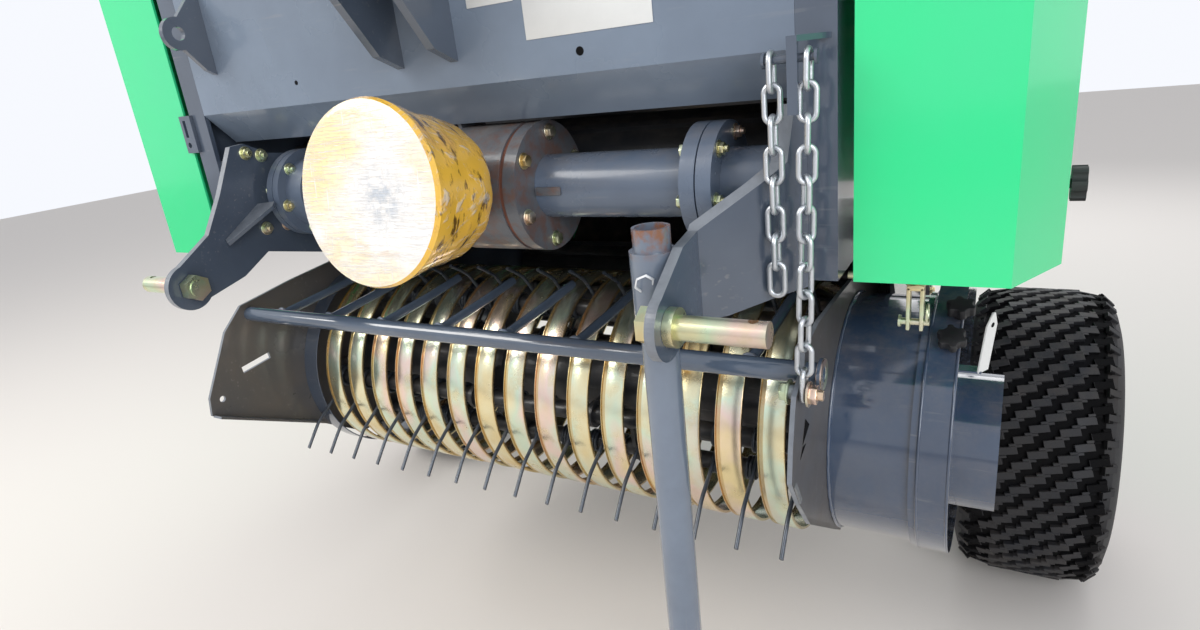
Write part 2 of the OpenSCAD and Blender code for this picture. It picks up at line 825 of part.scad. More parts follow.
module wind_guard() {
    bar_end = pickup_right + pickup_t + 21;
    end = [wind[0] + 225, wind[1] + 20];
    bend = [wind[0] + 140, wind[1] + 11];
    color("#4d5863") {
        rod_x(-pickup_half - 10, pickup_half + 10 + bar_end, wind, guard_bar_r);
        rod_x(bar_end - 5, 4, wind, 20);
        for (k = [-3.5:3.5]) {
            a = [k * 2 * tine_pitch, wind[0], wind[1]];
            b = [k * 2 * tine_pitch, bend[0], bend[1]];
            c = [k * 2 * tine_pitch, end[0], end[1]];
            bar(a, b, 8, 24);
            bar(b, c, 8, 24);
            translate(b) sphere(r = 8, $fn = 24);
        }
    }
}

// Tailgate

module gate_outline(r) {
    part = [split_y + 10, chamber_z + 4];
    intersection() {
        translate(chamber) circle(r = r, $fn = 128);
        polygon([[part[0], 3000], part, polar(part, 3000, lower_split), [split_y + 3000, 3000]]);
    }
}

module gate_plates() {
    color("#2fa35a") for (side = [-1, 1]) mirror([side > 0 ? 0 : 1, 0, 0]) difference() {
        union() {
            slab(frame_in, side_t) gate_outline(frame_r);
            // hinge arm outside the frame's ear
            slab(frame_half + run, 10) {
                translate(lid_pivot) circle(r = 28);
                polygon([
                    [lid_pivot[0] - 18, lid_pivot[1] - 21], [lid_pivot[0] + 18, lid_pivot[1] + 21],
                    [chamber_y + 90, chamber_z + frame_r - 20], [chamber_y + 60, chamber_z + frame_r - 110]
                ]);
            }
            translate([frame_half - 1, chamber_y + 30, chamber_z + frame_r - 90]) cube([run + 10, 50, 50]);
            // stub beside the cylinder's eye
            rod_x(frame_half - 1, cyl_x - 16 - gap - frame_half + 1, cyl_eye, 20);
        }
        for (a = gate_rollers) rod_x(frame_in - 1, side_t + 30, polar(chamber, roller_ring, a), shaft_r + 0.1);
        rod_x(frame_half + run - 1, 20, lid_pivot, 16.1);
    }
}

module gate_skin() {
    color("#2fa35a") slab(-frame_in + gap, 2 * (frame_in - gap)) difference() {
        gate_outline(frame_r + sheet_t);
        translate(chamber) circle(r = frame_r, $fn = 128);
    }
}

// Tailgate cylinders

cyl_dir = cyl_eye - cyl_base;
cyl_len = norm(cyl_dir);
cyl_angle = atan2(cyl_dir[1], cyl_dir[0]);

module along_cylinder(side) {
    translate([side * cyl_x, cyl_base[0], cyl_base[1]]) rotate([cyl_angle, 0, 0]) children();
}

module cylinder_body(side) {
    color("#30363c") along_cylinder(side) {
        difference() {
            union() {
                rotate([0, 90, 0]) translate([0, 0, -12]) cylinder(h = 24, r = 26);
                rotate([-90, 0, 0]) translate([0, 0, 20]) cylinder(h = cyl_len - 120, r = 27);
            }
            rotate([0, 90, 0]) translate([0, 0, -14]) cylinder(h = 28, r = 14.1);
            rotate([-90, 0, 0]) translate([0, 0, 60]) cylinder(h = cyl_len, r = 15.1);
        }
    }
}

module cylinder_rod(side) {
    color("#d4d8da") along_cylinder(side) {
        rotate([-90, 0, 0]) translate([0, 0, 70]) cylinder(h = cyl_len - 85, r = 15);
        translate([0, cyl_len, 0]) rotate([0, 90, 0]) translate([0, 0, -16]) cylinder(h = 32, r = 24);
    }
}

module cylinder_left() cylinder_body(-1);
module cylinder_right() cylinder_body(1);
module rod_left() cylinder_rod(-1);
module rod_right() cylinder_rod(1);

// Side covers: open towards the machine, hinged along the top inner edge

module cover_plan(wall, open_side) {
    x1 = cover_in + cover_w;
    polygon([
        [cover_in - open_side, cover_y + wall], [x1 - 47 - wall / 2, cover_y + wall],
        [x1 - wall, cover_y + 100 + wall], [x1 - wall, cover_y + cover_len - wall],
        [cover_in - open_side, cover_y + cover_len - wall]
    ]);
}

module cover() {
    color("#35c678") {
        difference() {
            translate([0, 0, cover_low]) linear_extrude(cover_top - cover_low) cover_plan(0, 0);
            translate([0, 0, cover_low - 1]) linear_extrude(cover_top - cover_low + 1 - sheet_t)
                cover_plan(sheet_t, 10);
        }
        // hinge pin with its three leaves
        rod_y(cover_hinge[0], cover_y + 40, cover_len - 80, cover_hinge[1], 5);
        for (y = [cover_y + 40, cover_y + cover_len / 2 - 15, cover_y + cover_len - 70])
            translate([cover_hinge[0] - 1, y, cover_top - 1]) cube([5, 30, cover_hinge[1] - cover_top + 1]);
    }
}

module cover_right() cover();
module cover_left() mirror([1, 0, 0]) cover();

module knobs() {
    color("#17181a") for (y = [cover_y + 330]) translate([cover_in + cover_w, y, cover_low + 48]) {
        rotate([0, 90, 0]) cylinder(h = 14, r = 7);
        translate([14, 0, 0]) rotate([0, 90, 0]) difference() {
            cylinder(h = 18, r = 24);
            for (k = [0:5]) rotate([0, 0, k * 60]) translate([28, 0, -1]) cylinder(h = 20, r = 8, $fn = 24);
        }
    }
}

module cover_knobs_right() knobs();
module cover_knobs_left() mirror([1, 0, 0]) knobs();

side_frame_left();
side_frame_right();
frame_stubs_left();
frame_stubs_right();
front_panel();
top_hitch();
hitch_plate_left();
hitch_plate_right();
hitch_pin_left();
hitch_pin_right();
gearbox();
pto_guard();
cross_tubes();
front_rollers();
front_bearings();
axle_beam();
stand_sleeve();
chain_hook();
lift_chain();
chain_tail();
frame_lug();
twine_box();
top_cover();
twine_lid();
wheel_rims_left();
tyre_left();
wheel_rims_right();
tyre_right();
parking_stand();
pickup_plate_left();
pickup_plate_right();
stripper_bands();
pickup_beam();
drive_drum();
chain_case();
pickup_arm_left();
reel_core();
reel_tines();
wind_guard();
gate_plates();
gate_skin();
gate_rollers();
cylinder_left();
cylinder_right();
rod_left();
rod_right();
cover_left();
cover_right();
cover_knobs_left();
cover_knobs_right();
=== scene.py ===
import json
import math
import random
from math import cos, pi, radians, sin
import bmesh
import bpy
from mathutils import Matrix, Vector


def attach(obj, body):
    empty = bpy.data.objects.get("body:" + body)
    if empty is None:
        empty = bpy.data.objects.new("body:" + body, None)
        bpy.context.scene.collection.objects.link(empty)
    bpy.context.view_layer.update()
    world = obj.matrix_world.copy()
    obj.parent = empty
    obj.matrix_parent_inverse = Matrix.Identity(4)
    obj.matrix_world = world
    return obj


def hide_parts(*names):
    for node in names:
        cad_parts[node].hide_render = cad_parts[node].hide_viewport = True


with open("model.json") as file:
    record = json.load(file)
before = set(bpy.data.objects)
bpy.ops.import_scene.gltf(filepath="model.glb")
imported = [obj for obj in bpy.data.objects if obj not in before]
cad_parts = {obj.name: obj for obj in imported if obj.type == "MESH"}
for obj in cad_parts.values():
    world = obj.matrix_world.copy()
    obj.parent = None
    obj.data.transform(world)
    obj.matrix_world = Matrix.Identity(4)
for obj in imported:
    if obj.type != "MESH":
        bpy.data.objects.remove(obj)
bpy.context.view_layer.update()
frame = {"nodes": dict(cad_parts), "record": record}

scene = bpy.context.scene
nodes = frame["nodes"]
random.seed(7)
print("frame loaded:", len(nodes), "nodes")

# The machine's own places, in metres, from the CAD; (y, z) where a place lies on an axis along X
place = {
    "reel": (-0.335, 0.537), "beam": (0.015, 0.565), "wind": (-0.63, 0.727), "chamber": (0.181, 1.08),
    "drive": (-0.55, 0.95), "panelY": -0.623, "axle": (0.145, 0.295), "trackHalf": 0.811, "tinePitch": 0.066,
}
alongX = (0, pi / 2, 0)


# shader steps
def fill(node, **values):
    for key, value in values.items():
        node.inputs[key.replace("_", " ")].default_value = value
    return node


def put(tree, kind, operation=None, **values):
    node = tree.nodes.new(kind)
    if operation:
        node.operation = operation
    return fill(node, **values)


def blended(tree, operation, first, second):
    node = put(tree, "ShaderNodeMath", operation)
    for source, socket in ((first, node.inputs[0]), (second, node.inputs[1])):
        if isinstance(source, float):
            socket.default_value = source
        else:
            tree.links.new(source, socket)
    return node.outputs[0]


def times(tree, first, second):
    return blended(tree, "MULTIPLY", first, second)


def ramp(tree, low, high, source):
    node = put(tree, "ShaderNodeMapRange", From_Min=low, From_Max=high)
    tree.links.new(source, node.inputs["Value"])
    return node.outputs["Result"]


def noise(tree, vector, scale, detail, rough):
    node = put(tree, "ShaderNodeTexNoise", Scale=scale, Detail=detail, Roughness=rough)
    tree.links.new(vector, node.inputs["Vector"])
    return node.outputs["Fac"]


def axis(tree, vector, letter):
    node = put(tree, "ShaderNodeSeparateXYZ")
    tree.links.new(vector, node.inputs[0])
    return node.outputs[letter]


def stretched(tree, at, scale, turn=(0, 0, 0)):
    node = put(tree, "ShaderNodeMapping", Rotation=turn, Scale=scale)
    tree.links.new(at, node.inputs["Vector"])
    return node.outputs["Vector"]


def objectCoords(tree):
    return put(tree, "ShaderNodeTexCoord").outputs["Object"]


def newMaterial(name):
    material = bpy.data.materials.new(name)
    material.use_nodes = True
    return material, material.node_tree, material.node_tree.nodes["Principled BSDF"]


# camera, floor and light
cameraValues = {"spot": (0.74527, -1.44424, 1.10433), "yaw": 31.170, "pitch": -18.737, "roll": -6.525, "lens": 21.556,
                "sensor": 36, "clip": (0.05, 100)}


def makeCamera(values):
    yaw, pitch, roll = (radians(values[k]) for k in ("yaw", "pitch", "roll"))
    ahead = Vector((-sin(yaw) * cos(pitch), cos(yaw) * cos(pitch), sin(pitch)))
    right = Vector((cos(yaw), sin(yaw), 0))
    up = right.cross(ahead)
    right, up = right * cos(roll) + up * sin(roll), up * cos(roll) - right * sin(roll)
    data = bpy.data.cameras.new("camera")
    data.lens, data.sensor_width, data.sensor_fit = values["lens"], values["sensor"], "HORIZONTAL"
    data.clip_start, data.clip_end = values["clip"]
    camera = bpy.data.objects.new("camera", data)
    camera.matrix_world = Matrix.Translation(values["spot"]) @ Matrix((right, up, -ahead)).transposed().to_4x4()
    scene.collection.objects.link(camera)
    scene.camera = camera


makeCamera(cameraValues)
scene.view_settings.view_transform = "Standard"

studioValues = {
    "floorSize": 24, "floorColour": (0.78, 0.74, 0.70), "floorRough": 0.85,
    "worldColour": (0.93, 0.95, 1.0), "worldStrength": 0.66,
    "lamps": [
        # place, aimed at, size, watts, colour
        ((-2.6, -2.9, 3.4), (0.0, -0.3, 0.7), 2.2, 118, (1.0, 0.97, 0.92)),
        ((2.9, -3.2, 2.2), (0.1, -0.3, 0.7), 2.4, 78, (0.95, 0.97, 1.0)),
        ((0.6, 3.4, 3.2), (0.0, 0.2, 0.9), 3.0, 60, (1.0, 1.0, 1.0)),
    ],
}


def deselectAll():
    if bpy.context.object and bpy.context.object.mode != "OBJECT":
        endEdit()
    bpy.ops.object.select_all(action="DESELECT")


def pick(obj):
    deselectAll()
    obj.select_set(True)
    bpy.context.view_layer.objects.active = obj
    return obj


def endEdit():
    bpy.ops.object.mode_set(mode="OBJECT")


def settle(obj):
    # the place goes into the mesh and the object back to the origin
    pick(obj)
    bpy.ops.object.transform_apply(location=True, rotation=True, scale=True)
    return obj


def makeStudio(values):
    deselectAll()
    bpy.ops.mesh.primitive_plane_add(size=values["floorSize"])
    floor = bpy.context.object
    floor.name = "floor"
    material, tree, shader = newMaterial("floorPale")
    fill(shader, Base_Color=(*values["floorColour"], 1), Roughness=values["floorRough"])
    floor.data.materials.append(material)
    # the sky is seen and mirrored at full strength, and lights the scene with less
    world = bpy.data.worlds.new("studio")
    scene.world = world
    world.use_nodes = True
    tree = world.node_tree
    back = fill(tree.nodes["Background"], Color=(*values["worldColour"], 1))
    path = put(tree, "ShaderNodeLightPath")
    seen = blended(tree, "MAXIMUM", path.outputs["Is Camera Ray"], path.outputs["Is Glossy Ray"])
    level = put(tree, "ShaderNodeMapRange", To_Min=values["worldStrength"], To_Max=1.0)
    tree.links.new(seen, level.inputs["Value"])
    tree.links.new(level.outputs["Result"], back.inputs["Strength"])
    for k, (spot, aim, size, watts, colour) in enumerate(values["lamps"]):
        lamp = bpy.data.lights.new("lamp%d" % k, "AREA")
        lamp.size, lamp.energy, lamp.color = size, watts, colour
        holder = bpy.data.objects.new("lamp%d" % k, lamp)
        holder.location = spot
        holder.rotation_euler = (Vector(aim) - Vector(spot)).to_track_quat("-Z", "Y").to_euler()
        scene.collection.objects.link(holder)


makeStudio(studioValues)
print("camera, floor and lamps placed")


# shader groups that several materials share
def newGroup(name, ins, outs):
    group = bpy.data.node_groups.new(name, "ShaderNodeTree")
    for title, value in ins:
        kind = "NodeSocketVector" if isinstance(value, tuple) else "NodeSocketFloat"
        group.interface.new_socket(name=title, in_out="INPUT", socket_type=kind).default_value = value
    for title in outs:
        group.interface.new_socket(name=title, in_out="OUTPUT", socket_type="NodeSocketFloat")
    entry = group.nodes.new("NodeGroupInput")
    leave = group.nodes.new("NodeGroupOutput")
    return group, entry.outputs, leave.inputs


def makeGrainGroup():
    # fine grain for bump, a slow cloud for colour and roughness
    group, entry, leave = newGroup("surfaceGrain", [("Fine Scale", 400.0), ("Cloud Scale", 6.0)], ["Fine", "Cloud"])
    at = objectCoords(group)
    for title, out, detail in (("Fine Scale", "Fine", 3.0), ("Cloud Scale", "Cloud", 5.0)):
        node = put(group, "ShaderNodeTexNoise", Detail=detail, Roughness=0.6)
        group.links.new(at, node.inputs["Vector"])
        group.links.new(entry[title], node.inputs["Scale"])
        group.links.new(node.outputs["Fac"], leave[out])
    return group


def makeDustGroup():
    # dust lies on faces that look up and thickens towards the ground
    group, entry, leave = newGroup("dustMask", [("Amount", 0.3), ("High", 0.9)], ["Mask"])
    at = objectCoords(group)
    top = ramp(group, 0.2, 1.0, axis(group, put(group, "ShaderNodeNewGeometry").outputs["Normal"], "Z"))
    low = put(group, "ShaderNodeMapRange", From_Max=0.0)
    group.links.new(axis(group, at, "Z"), low.inputs["Value"])
    group.links.new(entry["High"], low.inputs["From Min"])
    speck = ramp(group, 0.42, 0.75, noise(group, at, 18.0, 6.0, 0.7))
    both = blended(group, "MAXIMUM", top, low.outputs["Result"])
    group.links.new(times(group, times(group, both, speck), entry["Amount"]), leave["Mask"])
    return group


def makeScratchGroup():
    # thin rubbed lines along one direction, broken up by a cloud
    group, entry, leave = newGroup("scratchMask", [("Amount", 0.3), ("Stretch", (8, 140, 140))], ["Mask"])
    at = objectCoords(group)
    mapping = put(group, "ShaderNodeMapping")
    group.links.new(at, mapping.inputs["Vector"])
    group.links.new(entry["Stretch"], mapping.inputs["Scale"])
    lines = ramp(group, 0.62, 0.72, noise(group, mapping.outputs["Vector"], 1.0, 2.0, 0.5))
    cloud = ramp(group, 0.5, 0.68, noise(group, at, 9.0, 4.0, 0.6))
    group.links.new(times(group, times(group, lines, cloud), entry["Amount"]), leave["Mask"])
    return group


groups = {"grain": makeGrainGroup(), "dust": makeDustGroup(), "scratch": makeScratchGroup()}


def useGroup(tree, name, **values):
    node = tree.nodes.new("ShaderNodeGroup")
    node.node_tree = groups[name]
    return fill(node, **values).outputs


def mixColour(tree, factor, first, second):
    node = tree.nodes.new("ShaderNodeMix")
    node.data_type = "RGBA"
    tree.links.new(factor, node.inputs["Factor"])
    for source, socket in ((first, node.inputs[6]), (second, node.inputs[7])):
        if isinstance(source, tuple):
            socket.default_value = (*source, 1)
        else:
            tree.links.new(source, socket)
    return node.outputs[2]


def roughened(tree, shader, cloud, rough, low=0.0, high=1.0):
    # the cloud drives the roughness between two values
    node = put(tree, "ShaderNodeMapRange", From_Min=low, From_Max=high, To_Min=rough[0], To_Max=rough[1])
    tree.links.new(cloud, node.inputs["Value"])
    tree.links.new(node.outputs["Result"], shader.inputs["Roughness"])


def bumped(tree, shader, height, strength, distance):
    node = put(tree, "ShaderNodeBump", Strength=strength, Distance=distance)
    tree.links.new(height, node.inputs["Height"])
    tree.links.new(node.outputs["Normal"], shader.inputs["Normal"])


def finishMaterial(name, values):
    # base with a cloud of a second tone, scratches, dust, rust, roughness range and grain bump
    material, tree, shader = newMaterial(name)
    grain = useGroup(tree, "grain", Fine_Scale=values["fine"], Cloud_Scale=values["cloud"])
    colour = mixColour(tree, ramp(tree, 0.35, 0.7, grain["Cloud"]), values["base"], values["tone"])
    for key, title in (("scratch", "Stretch"), ("dust", "High")):
        if key in values:
            amount, tint, limit = values[key]
            mask = useGroup(tree, key, **{"Amount": amount, title: limit})["Mask"]
            colour = mixColour(tree, mask, colour, tint)
    if "rust" in values:
        # rust between two heights, broken up by spots
        amount, tint, low, high = values["rust"]
        at = objectCoords(tree)
        spots = ramp(tree, 0.46, 0.62, noise(tree, at, 38.0, 5.0, 0.65))
        mask = times(tree, times(tree, ramp(tree, low, high, axis(tree, at, "Z")), spots), amount)
        colour = mixColour(tree, mask, colour, tint)
    tree.links.new(colour, shader.inputs["Base Color"])
    roughened(tree, shader, grain["Cloud"], values["rough"], 0.3, 0.7)
    bumped(tree, shader, grain["Fine"], values["bump"], 0.001)
    fill(shader, Metallic=values.get("metal", 0.0), Coat_Weight=values.get("coat", 0.0), Coat_Roughness=0.08,
         Specular_IOR_Level=values.get("specular", 0.5))
    return material


def zincMaterial(name, values):
    # passivated zinc: the tone drifts through gold, green and rose
    material, tree, shader = newMaterial(name)
    at = objectCoords(tree)
    drift = noise(tree, stretched(tree, at, values["stretch"]), values["scale"], 3.0, 0.5)
    colours = put(tree, "ShaderNodeValToRGB")
    tree.links.new(ramp(tree, 0.28, 0.72, drift), colours.inputs["Fac"])
    stops = colours.color_ramp.elements
    for k, (position, tint) in enumerate(values["tints"]):
        stop = stops[k] if k < 2 else stops.new(position)  # it starts with two stops
        stop.position = position
        stop.color = (*tint, 1)
    grain = useGroup(tree, "grain", Fine_Scale=700.0, Cloud_Scale=26.0)
    mottled = mixColour(tree, ramp(tree, 0.5, 0.8, grain["Cloud"]), colours.outputs["Color"], values["mottle"])
    if "lipReflections" in values:
        # each band gets a painted golden reflection along its two lips
        pitch, left, right, fade = values["lipReflections"]
        number = blended(tree, "ADD", blended(tree, "DIVIDE", axis(tree, at, "X"), pitch), 8.5)
        part = put(tree, "ShaderNodeMath", "FRACT")
        tree.links.new(number, part.inputs[0])
        across = blended(tree, "SUBTRACT", part.outputs[0], 0.5)
        lipReflectionMask = blended(tree, "MAXIMUM", ramp(tree, left, left - fade, across), ramp(tree, right, right + fade, across))
        mottled = mixColour(tree, times(tree, lipReflectionMask, 0.6), mottled, values["lipReflectionTint"])
    dust = useGroup(tree, "dust", Amount=values["dust"], High=0.8)["Mask"]
    tree.links.new(mixColour(tree, dust, mottled, zincDust), shader.inputs["Base Color"])
    roughened(tree, shader, grain["Cloud"], values["rough"])
    bumped(tree, shader, grain["Fine"], values["bump"], 0.0006)
    fill(shader, Metallic=0.92)
    return material


def paint(base, tone, fine, cloud, rough, bump, **more):
    return {"base": base, "tone": tone, "fine": fine, "cloud": cloud, "rough": rough, "bump": bump, **more}


chipTint, earth = (0.30, 0.29, 0.28), (0.30, 0.24, 0.18)
# base, second tone, scale of the grain and of the cloud, roughness range, bump; then what only some have:
# scratch (amount, tint, stretch), dust (amount, tint, height), rust (amount, tint, from height, to height)
paints = {
    "anthracite": paint((0.072, 0.094, 0.132), (0.054, 0.07, 0.1), 420, 5, (0.14, 0.25), 0.05, coat=0.6,
        scratch=(0.3, chipTint, (10, 150, 150)), dust=(0.35, earth, 0.75)),
    "green": paint((0.016, 0.66, 0.235), (0.034, 0.62, 0.255), 300, 3, (0.14, 0.22), 0.05, coat=0.55,
        dust=(0.1, earth, 0.9)),
    "blackSteel": paint((0.022, 0.025, 0.03), (0.035, 0.037, 0.042), 350, 7, (0.28, 0.45), 0.12, coat=0.15,
        scratch=(0.35, chipTint, (12, 160, 160)), dust=(0.35, earth, 0.8)),
    "cast": paint((0.12, 0.13, 0.148), (0.085, 0.09, 0.102), 240, 12, (0.3, 0.46), 0.35, coat=0.2,
        dust=(0.4, earth, 0.8), rust=(0.55, (0.15, 0.055, 0.022), -1.0, -0.5)),
    "tube": paint((0.11, 0.145, 0.205), (0.085, 0.112, 0.16), 420, 6, (0.22, 0.36), 0.08, coat=0.2,
        scratch=(0.25, chipTint, (10, 170, 170)), dust=(0.3, earth, 0.7)),
    # painted shade in the grooves between the tread blocks
    "grooveShadeRubber": paint((0.003, 0.003, 0.004), (0.006, 0.0056, 0.0056), 260, 9, (0.75, 0.92), 0.3, specular=0.12),
    "rubber": paint((0.016, 0.0165, 0.02), (0.024, 0.0235, 0.024), 260, 9, (0.5, 0.72), 0.3,
        dust=(0.35, (0.16, 0.13, 0.11), 0.3), specular=0.35),
    "rimPaint": paint((0.62, 0.6, 0.55), (0.56, 0.54, 0.49), 320, 6, (0.28, 0.42), 0.1, coat=0.2,
        dust=(0.5, earth, 0.6)),
    "knobPlastic": paint((0.012, 0.012, 0.014), (0.02, 0.02, 0.022), 500, 20, (0.45, 0.6), 0.25),
    "chrome": paint((0.74, 0.75, 0.77), (0.68, 0.69, 0.71), 600, 30, (0.08, 0.14), 0.03, metal=1.0),
    "tineSteel": paint((0.06, 0.075, 0.098), (0.042, 0.052, 0.068), 500, 30, (0.22, 0.36), 0.08, metal=0.35, coat=0.3,
        dust=(0.2, earth, 0.5)),
    "caseBlue": paint((0.047, 0.078, 0.138), (0.034, 0.056, 0.102), 420, 5, (0.07, 0.15), 0.03, coat=1.0,
        scratch=(0.3, chipTint, (10, 150, 150)), dust=(0.35, earth, 0.7)),
    "standPaint": paint((0.158, 0.195, 0.255), (0.128, 0.158, 0.208), 420, 8, (0.14, 0.26), 0.06, coat=0.6,
        scratch=(0.45, chipTint, (170, 170, 9)), dust=(0.12, earth, 0.35),
        rust=(0.95, (0.22, 0.085, 0.035), 0.9, 0.918)),
    "barPaint": paint((0.085, 0.115, 0.165), (0.062, 0.084, 0.122), 420, 8, (0.07, 0.15), 0.05, coat=0.7,
        scratch=(0.35, chipTint, (9, 170, 170))),
    # the panel's dark paint made lighter and bluer: painted sky reflection
    "panelPaintSkyReflection": paint((0.165, 0.212, 0.28), (0.12, 0.155, 0.21), 420, 4, (0.22, 0.34), 0.06, coat=0.5,
        scratch=(0.2, chipTint, (10, 150, 150)), dust=(0.3, earth, 0.9)),
    "whitePlate": paint((0.72, 0.73, 0.72), (0.66, 0.67, 0.66), 500, 14, (0.3, 0.42), 0.04),
    # painted shade that stands for holes and slots
    "holeShade": paint((0.006, 0.006, 0.007), (0.01, 0.01, 0.01), 300, 9, (0.7, 0.9), 0.1, specular=0.05),
    "wornEdge": paint((0.3, 0.31, 0.32), (0.2, 0.21, 0.22), 380, 60, (0.3, 0.5), 0.5, metal=0.5),
    "gasketRed": paint((0.17, 0.055, 0.03), (0.1, 0.04, 0.026), 260, 30, (0.5, 0.8), 0.5),
    "whiteWire": paint((0.78, 0.8, 0.83), (0.7, 0.72, 0.75), 300, 20, (0.2, 0.3), 0.05),
    "pickupPaint": paint((0.078, 0.078, 0.08), (0.1, 0.088, 0.078), 420, 7, (0.24, 0.4), 0.06, coat=0.3,
        scratch=(0.35, chipTint, (14, 160, 120)), dust=(0.45, (0.2, 0.15, 0.11), 0.8)),
    # painted shade inside the bale chamber, near black, with dust
    "insideShadeAndDust": paint((0.018, 0.019, 0.021), (0.04, 0.034, 0.028), 300, 6, (0.4, 0.65), 0.15,
        dust=(0.4, earth, 1.2)),
    # painted highlight on the cut edges of plates: a lighter paint, with rubbed marks
    "edgeHighlightAndRubs": paint((0.19, 0.21, 0.24), (0.13, 0.145, 0.17), 380, 40, (0.28, 0.45), 0.25, coat=0.3,
        scratch=(0.4, (0.42, 0.36, 0.28), (60, 60, 60))),
    "brightZinc": paint((0.6, 0.63, 0.66), (0.48, 0.5, 0.53), 420, 40, (0.26, 0.42), 0.2, metal=0.9,
        dust=(0.2, earth, 0.6)),
}
materials = {name: finishMaterial(name, values) for name, values in paints.items()}
zincDust = (0.32, 0.24, 0.15)
materials["bandZinc"] = zincMaterial("bandZinc", {
    "stretch": (1.0, 0.6, 0.6), "scale": 9.0, "rough": (0.16, 0.34), "bump": 0.08, "dust": 0.3,
    # pitch, edges and fade of the painted reflection on the lips, and its tint
    "mottle": (0.74, 0.62, 0.36), "lipReflections": (place["tinePitch"], -0.165, 0.275, 0.03), "lipReflectionTint": (0.62, 0.40, 0.14),
    "tints": [(0.0, (0.80, 0.62, 0.30)), (1.0, (0.86, 0.72, 0.40)), (0.3, (0.80, 0.76, 0.52)),
              (0.5, (0.66, 0.78, 0.62)), (0.72, (0.84, 0.66, 0.58))],
})
materials["yellowZinc"] = zincMaterial("yellowZinc", {
    "stretch": (1, 1, 1), "scale": 7.0, "rough": (0.20, 0.38), "bump": 0.12, "dust": 0.25,
    "mottle": (0.62, 0.50, 0.28),
    "tints": [(0.0, (0.62, 0.40, 0.14)), (1.0, (0.80, 0.62, 0.30)), (0.3, (0.66, 0.60, 0.36)),
              (0.5, (0.55, 0.66, 0.46)), (0.72, (0.74, 0.56, 0.48))],
})


def streaks(tree, at, turn, scale, low, high):
    return ramp(tree, low, high, noise(tree, stretched(tree, at, scale, turn), 1.0, 4.0, 0.6))


def wrapMaterial(name, values):
    # clear film pulled tight: painted highlights along creases in several directions over a soft second tone
    material, tree, shader = newMaterial(name)
    at = objectCoords(tree)
    lines = None
    for turn, scale in values["streaks"]:
        layer = streaks(tree, at, turn, scale, 0.58, 0.68)
        lines = layer if lines is None else blended(tree, "MAXIMUM", lines, layer)
    patch = ramp(tree, *values["patch"], noise(tree, at, values["cloudScale"], 5.0, 0.6))
    colour = mixColour(tree, patch, values["base"], values["second"])
    if "core" in values:
        # the steel of the shaft shows through round its end
        away = put(tree, "ShaderNodeVectorMath", "DISTANCE")
        tree.links.new(at, away.inputs[0])
        away.inputs[1].default_value = values["core"]
        near = ramp(tree, *values["coreRange"], away.outputs["Value"])
        broken = times(tree, near, ramp(tree, 0.35, 0.6, noise(tree, at, 60.0, 4.0, 0.6)))
        colour = mixColour(tree, times(tree, broken, 0.75), colour, values["coreTint"])
    scuffs = times(tree, streaks(tree, at, (0.4, 0.2, 0.0), (9.0, 60.0, 30.0), *values["scuffRange"]), values["scuff"])
    colour = mixColour(tree, scuffs, colour, values["scuffTint"])
    # painted highlights along the creases
    colour = mixColour(tree, times(tree, lines, values["creaseHighlightAmount"]), colour, creaseHighlight)
    tree.links.new(colour, shader.inputs["Base Color"])
    bumped(tree, shader, blended(tree, "ADD", lines, patch), 0.6, 0.0018)
    fill(shader, Roughness=values["rough"], Coat_Weight=0.7, Coat_Roughness=0.10)
    return material


# colour of the painted highlights on the creases
creaseHighlight = (0.93, 0.93, 0.92)
materials["wrapFace"] = wrapMaterial("wrapFace", {
    # turn and stretch of each set of creases
    "streaks": [((0, 0.12, 0), (24, 9, 520)), ((0, 0.42, 0), (20, 9, 460)), ((0, -0.5, 0), (26, 9, 560)),
                ((0, 0.25, 0), (480, 9, 22)), ((0, -0.85, 0), (20, 9, 400))],
    "cloudScale": 6, "patch": (0.40, 0.60), "base": (0.98, 0.76, 0.40), "second": (0.98, 0.93, 0.88),
    "creaseHighlightAmount": 0.85, "rough": 0.24,
    "core": (0.075, -0.815, 0.985), "coreRange": (0.050, 0.018), "coreTint": (0.36, 0.43, 0.52),
    "scuff": 0.4, "scuffRange": (0.60, 0.70), "scuffTint": (0.70, 0.46, 0.22)})
materials["wrapCone"] = wrapMaterial("wrapCone", {
    "streaks": [((0.3, 0, 0.3), (160, 20, 30)), ((0.9, 0.3, 0), (220, 24, 40))],
    "cloudScale": 16, "patch": (0.50, 0.62), "base": (0.96, 0.56, 0.07), "second": (0.80, 0.44, 0.10),
    "creaseHighlightAmount": 0.45, "rough": 0.22,
    "scuff": 0.9, "scuffRange": (0.56, 0.63), "scuffTint": (0.10, 0.045, 0.015)})

slotLook = {
    "anthracite": "anthracite", "green": "green", "yellow_zinc": "yellowZinc", "zinc": "brightZinc",
    "black_steel": "blackSteel", "tyre": "rubber", "rim": "rimPaint", "guard_yellow": "knobPlastic",
    "knob": "knobPlastic", "chrome": "chrome", "cast": "cast",
}
nodeLook = {
    "front_panel": "panelPaintSkyReflection", "pickup_plate_right": "pickupPaint", "pickup_plate_left": "pickupPaint",
    "cross_tubes": "tube", "parking_stand": "standPaint", "stand_sleeve": "standPaint", "wind_guard": "barPaint",
    "chain_case": "caseBlue", "drive_drum": "caseBlue",
}
slotOf = {part["node"]: part["material_slot"] for part in frame["record"]["subparts"]}
for name, node in nodes.items():
    node.data.materials.clear()
    node.data.materials.append(materials[nodeLook.get(name, slotLook[slotOf[name]])])


def secondLook(obj, look, wanted):
    obj.data.materials.append(materials[look])
    for face in obj.data.polygons:
        face.material_index = int(wanted(face))


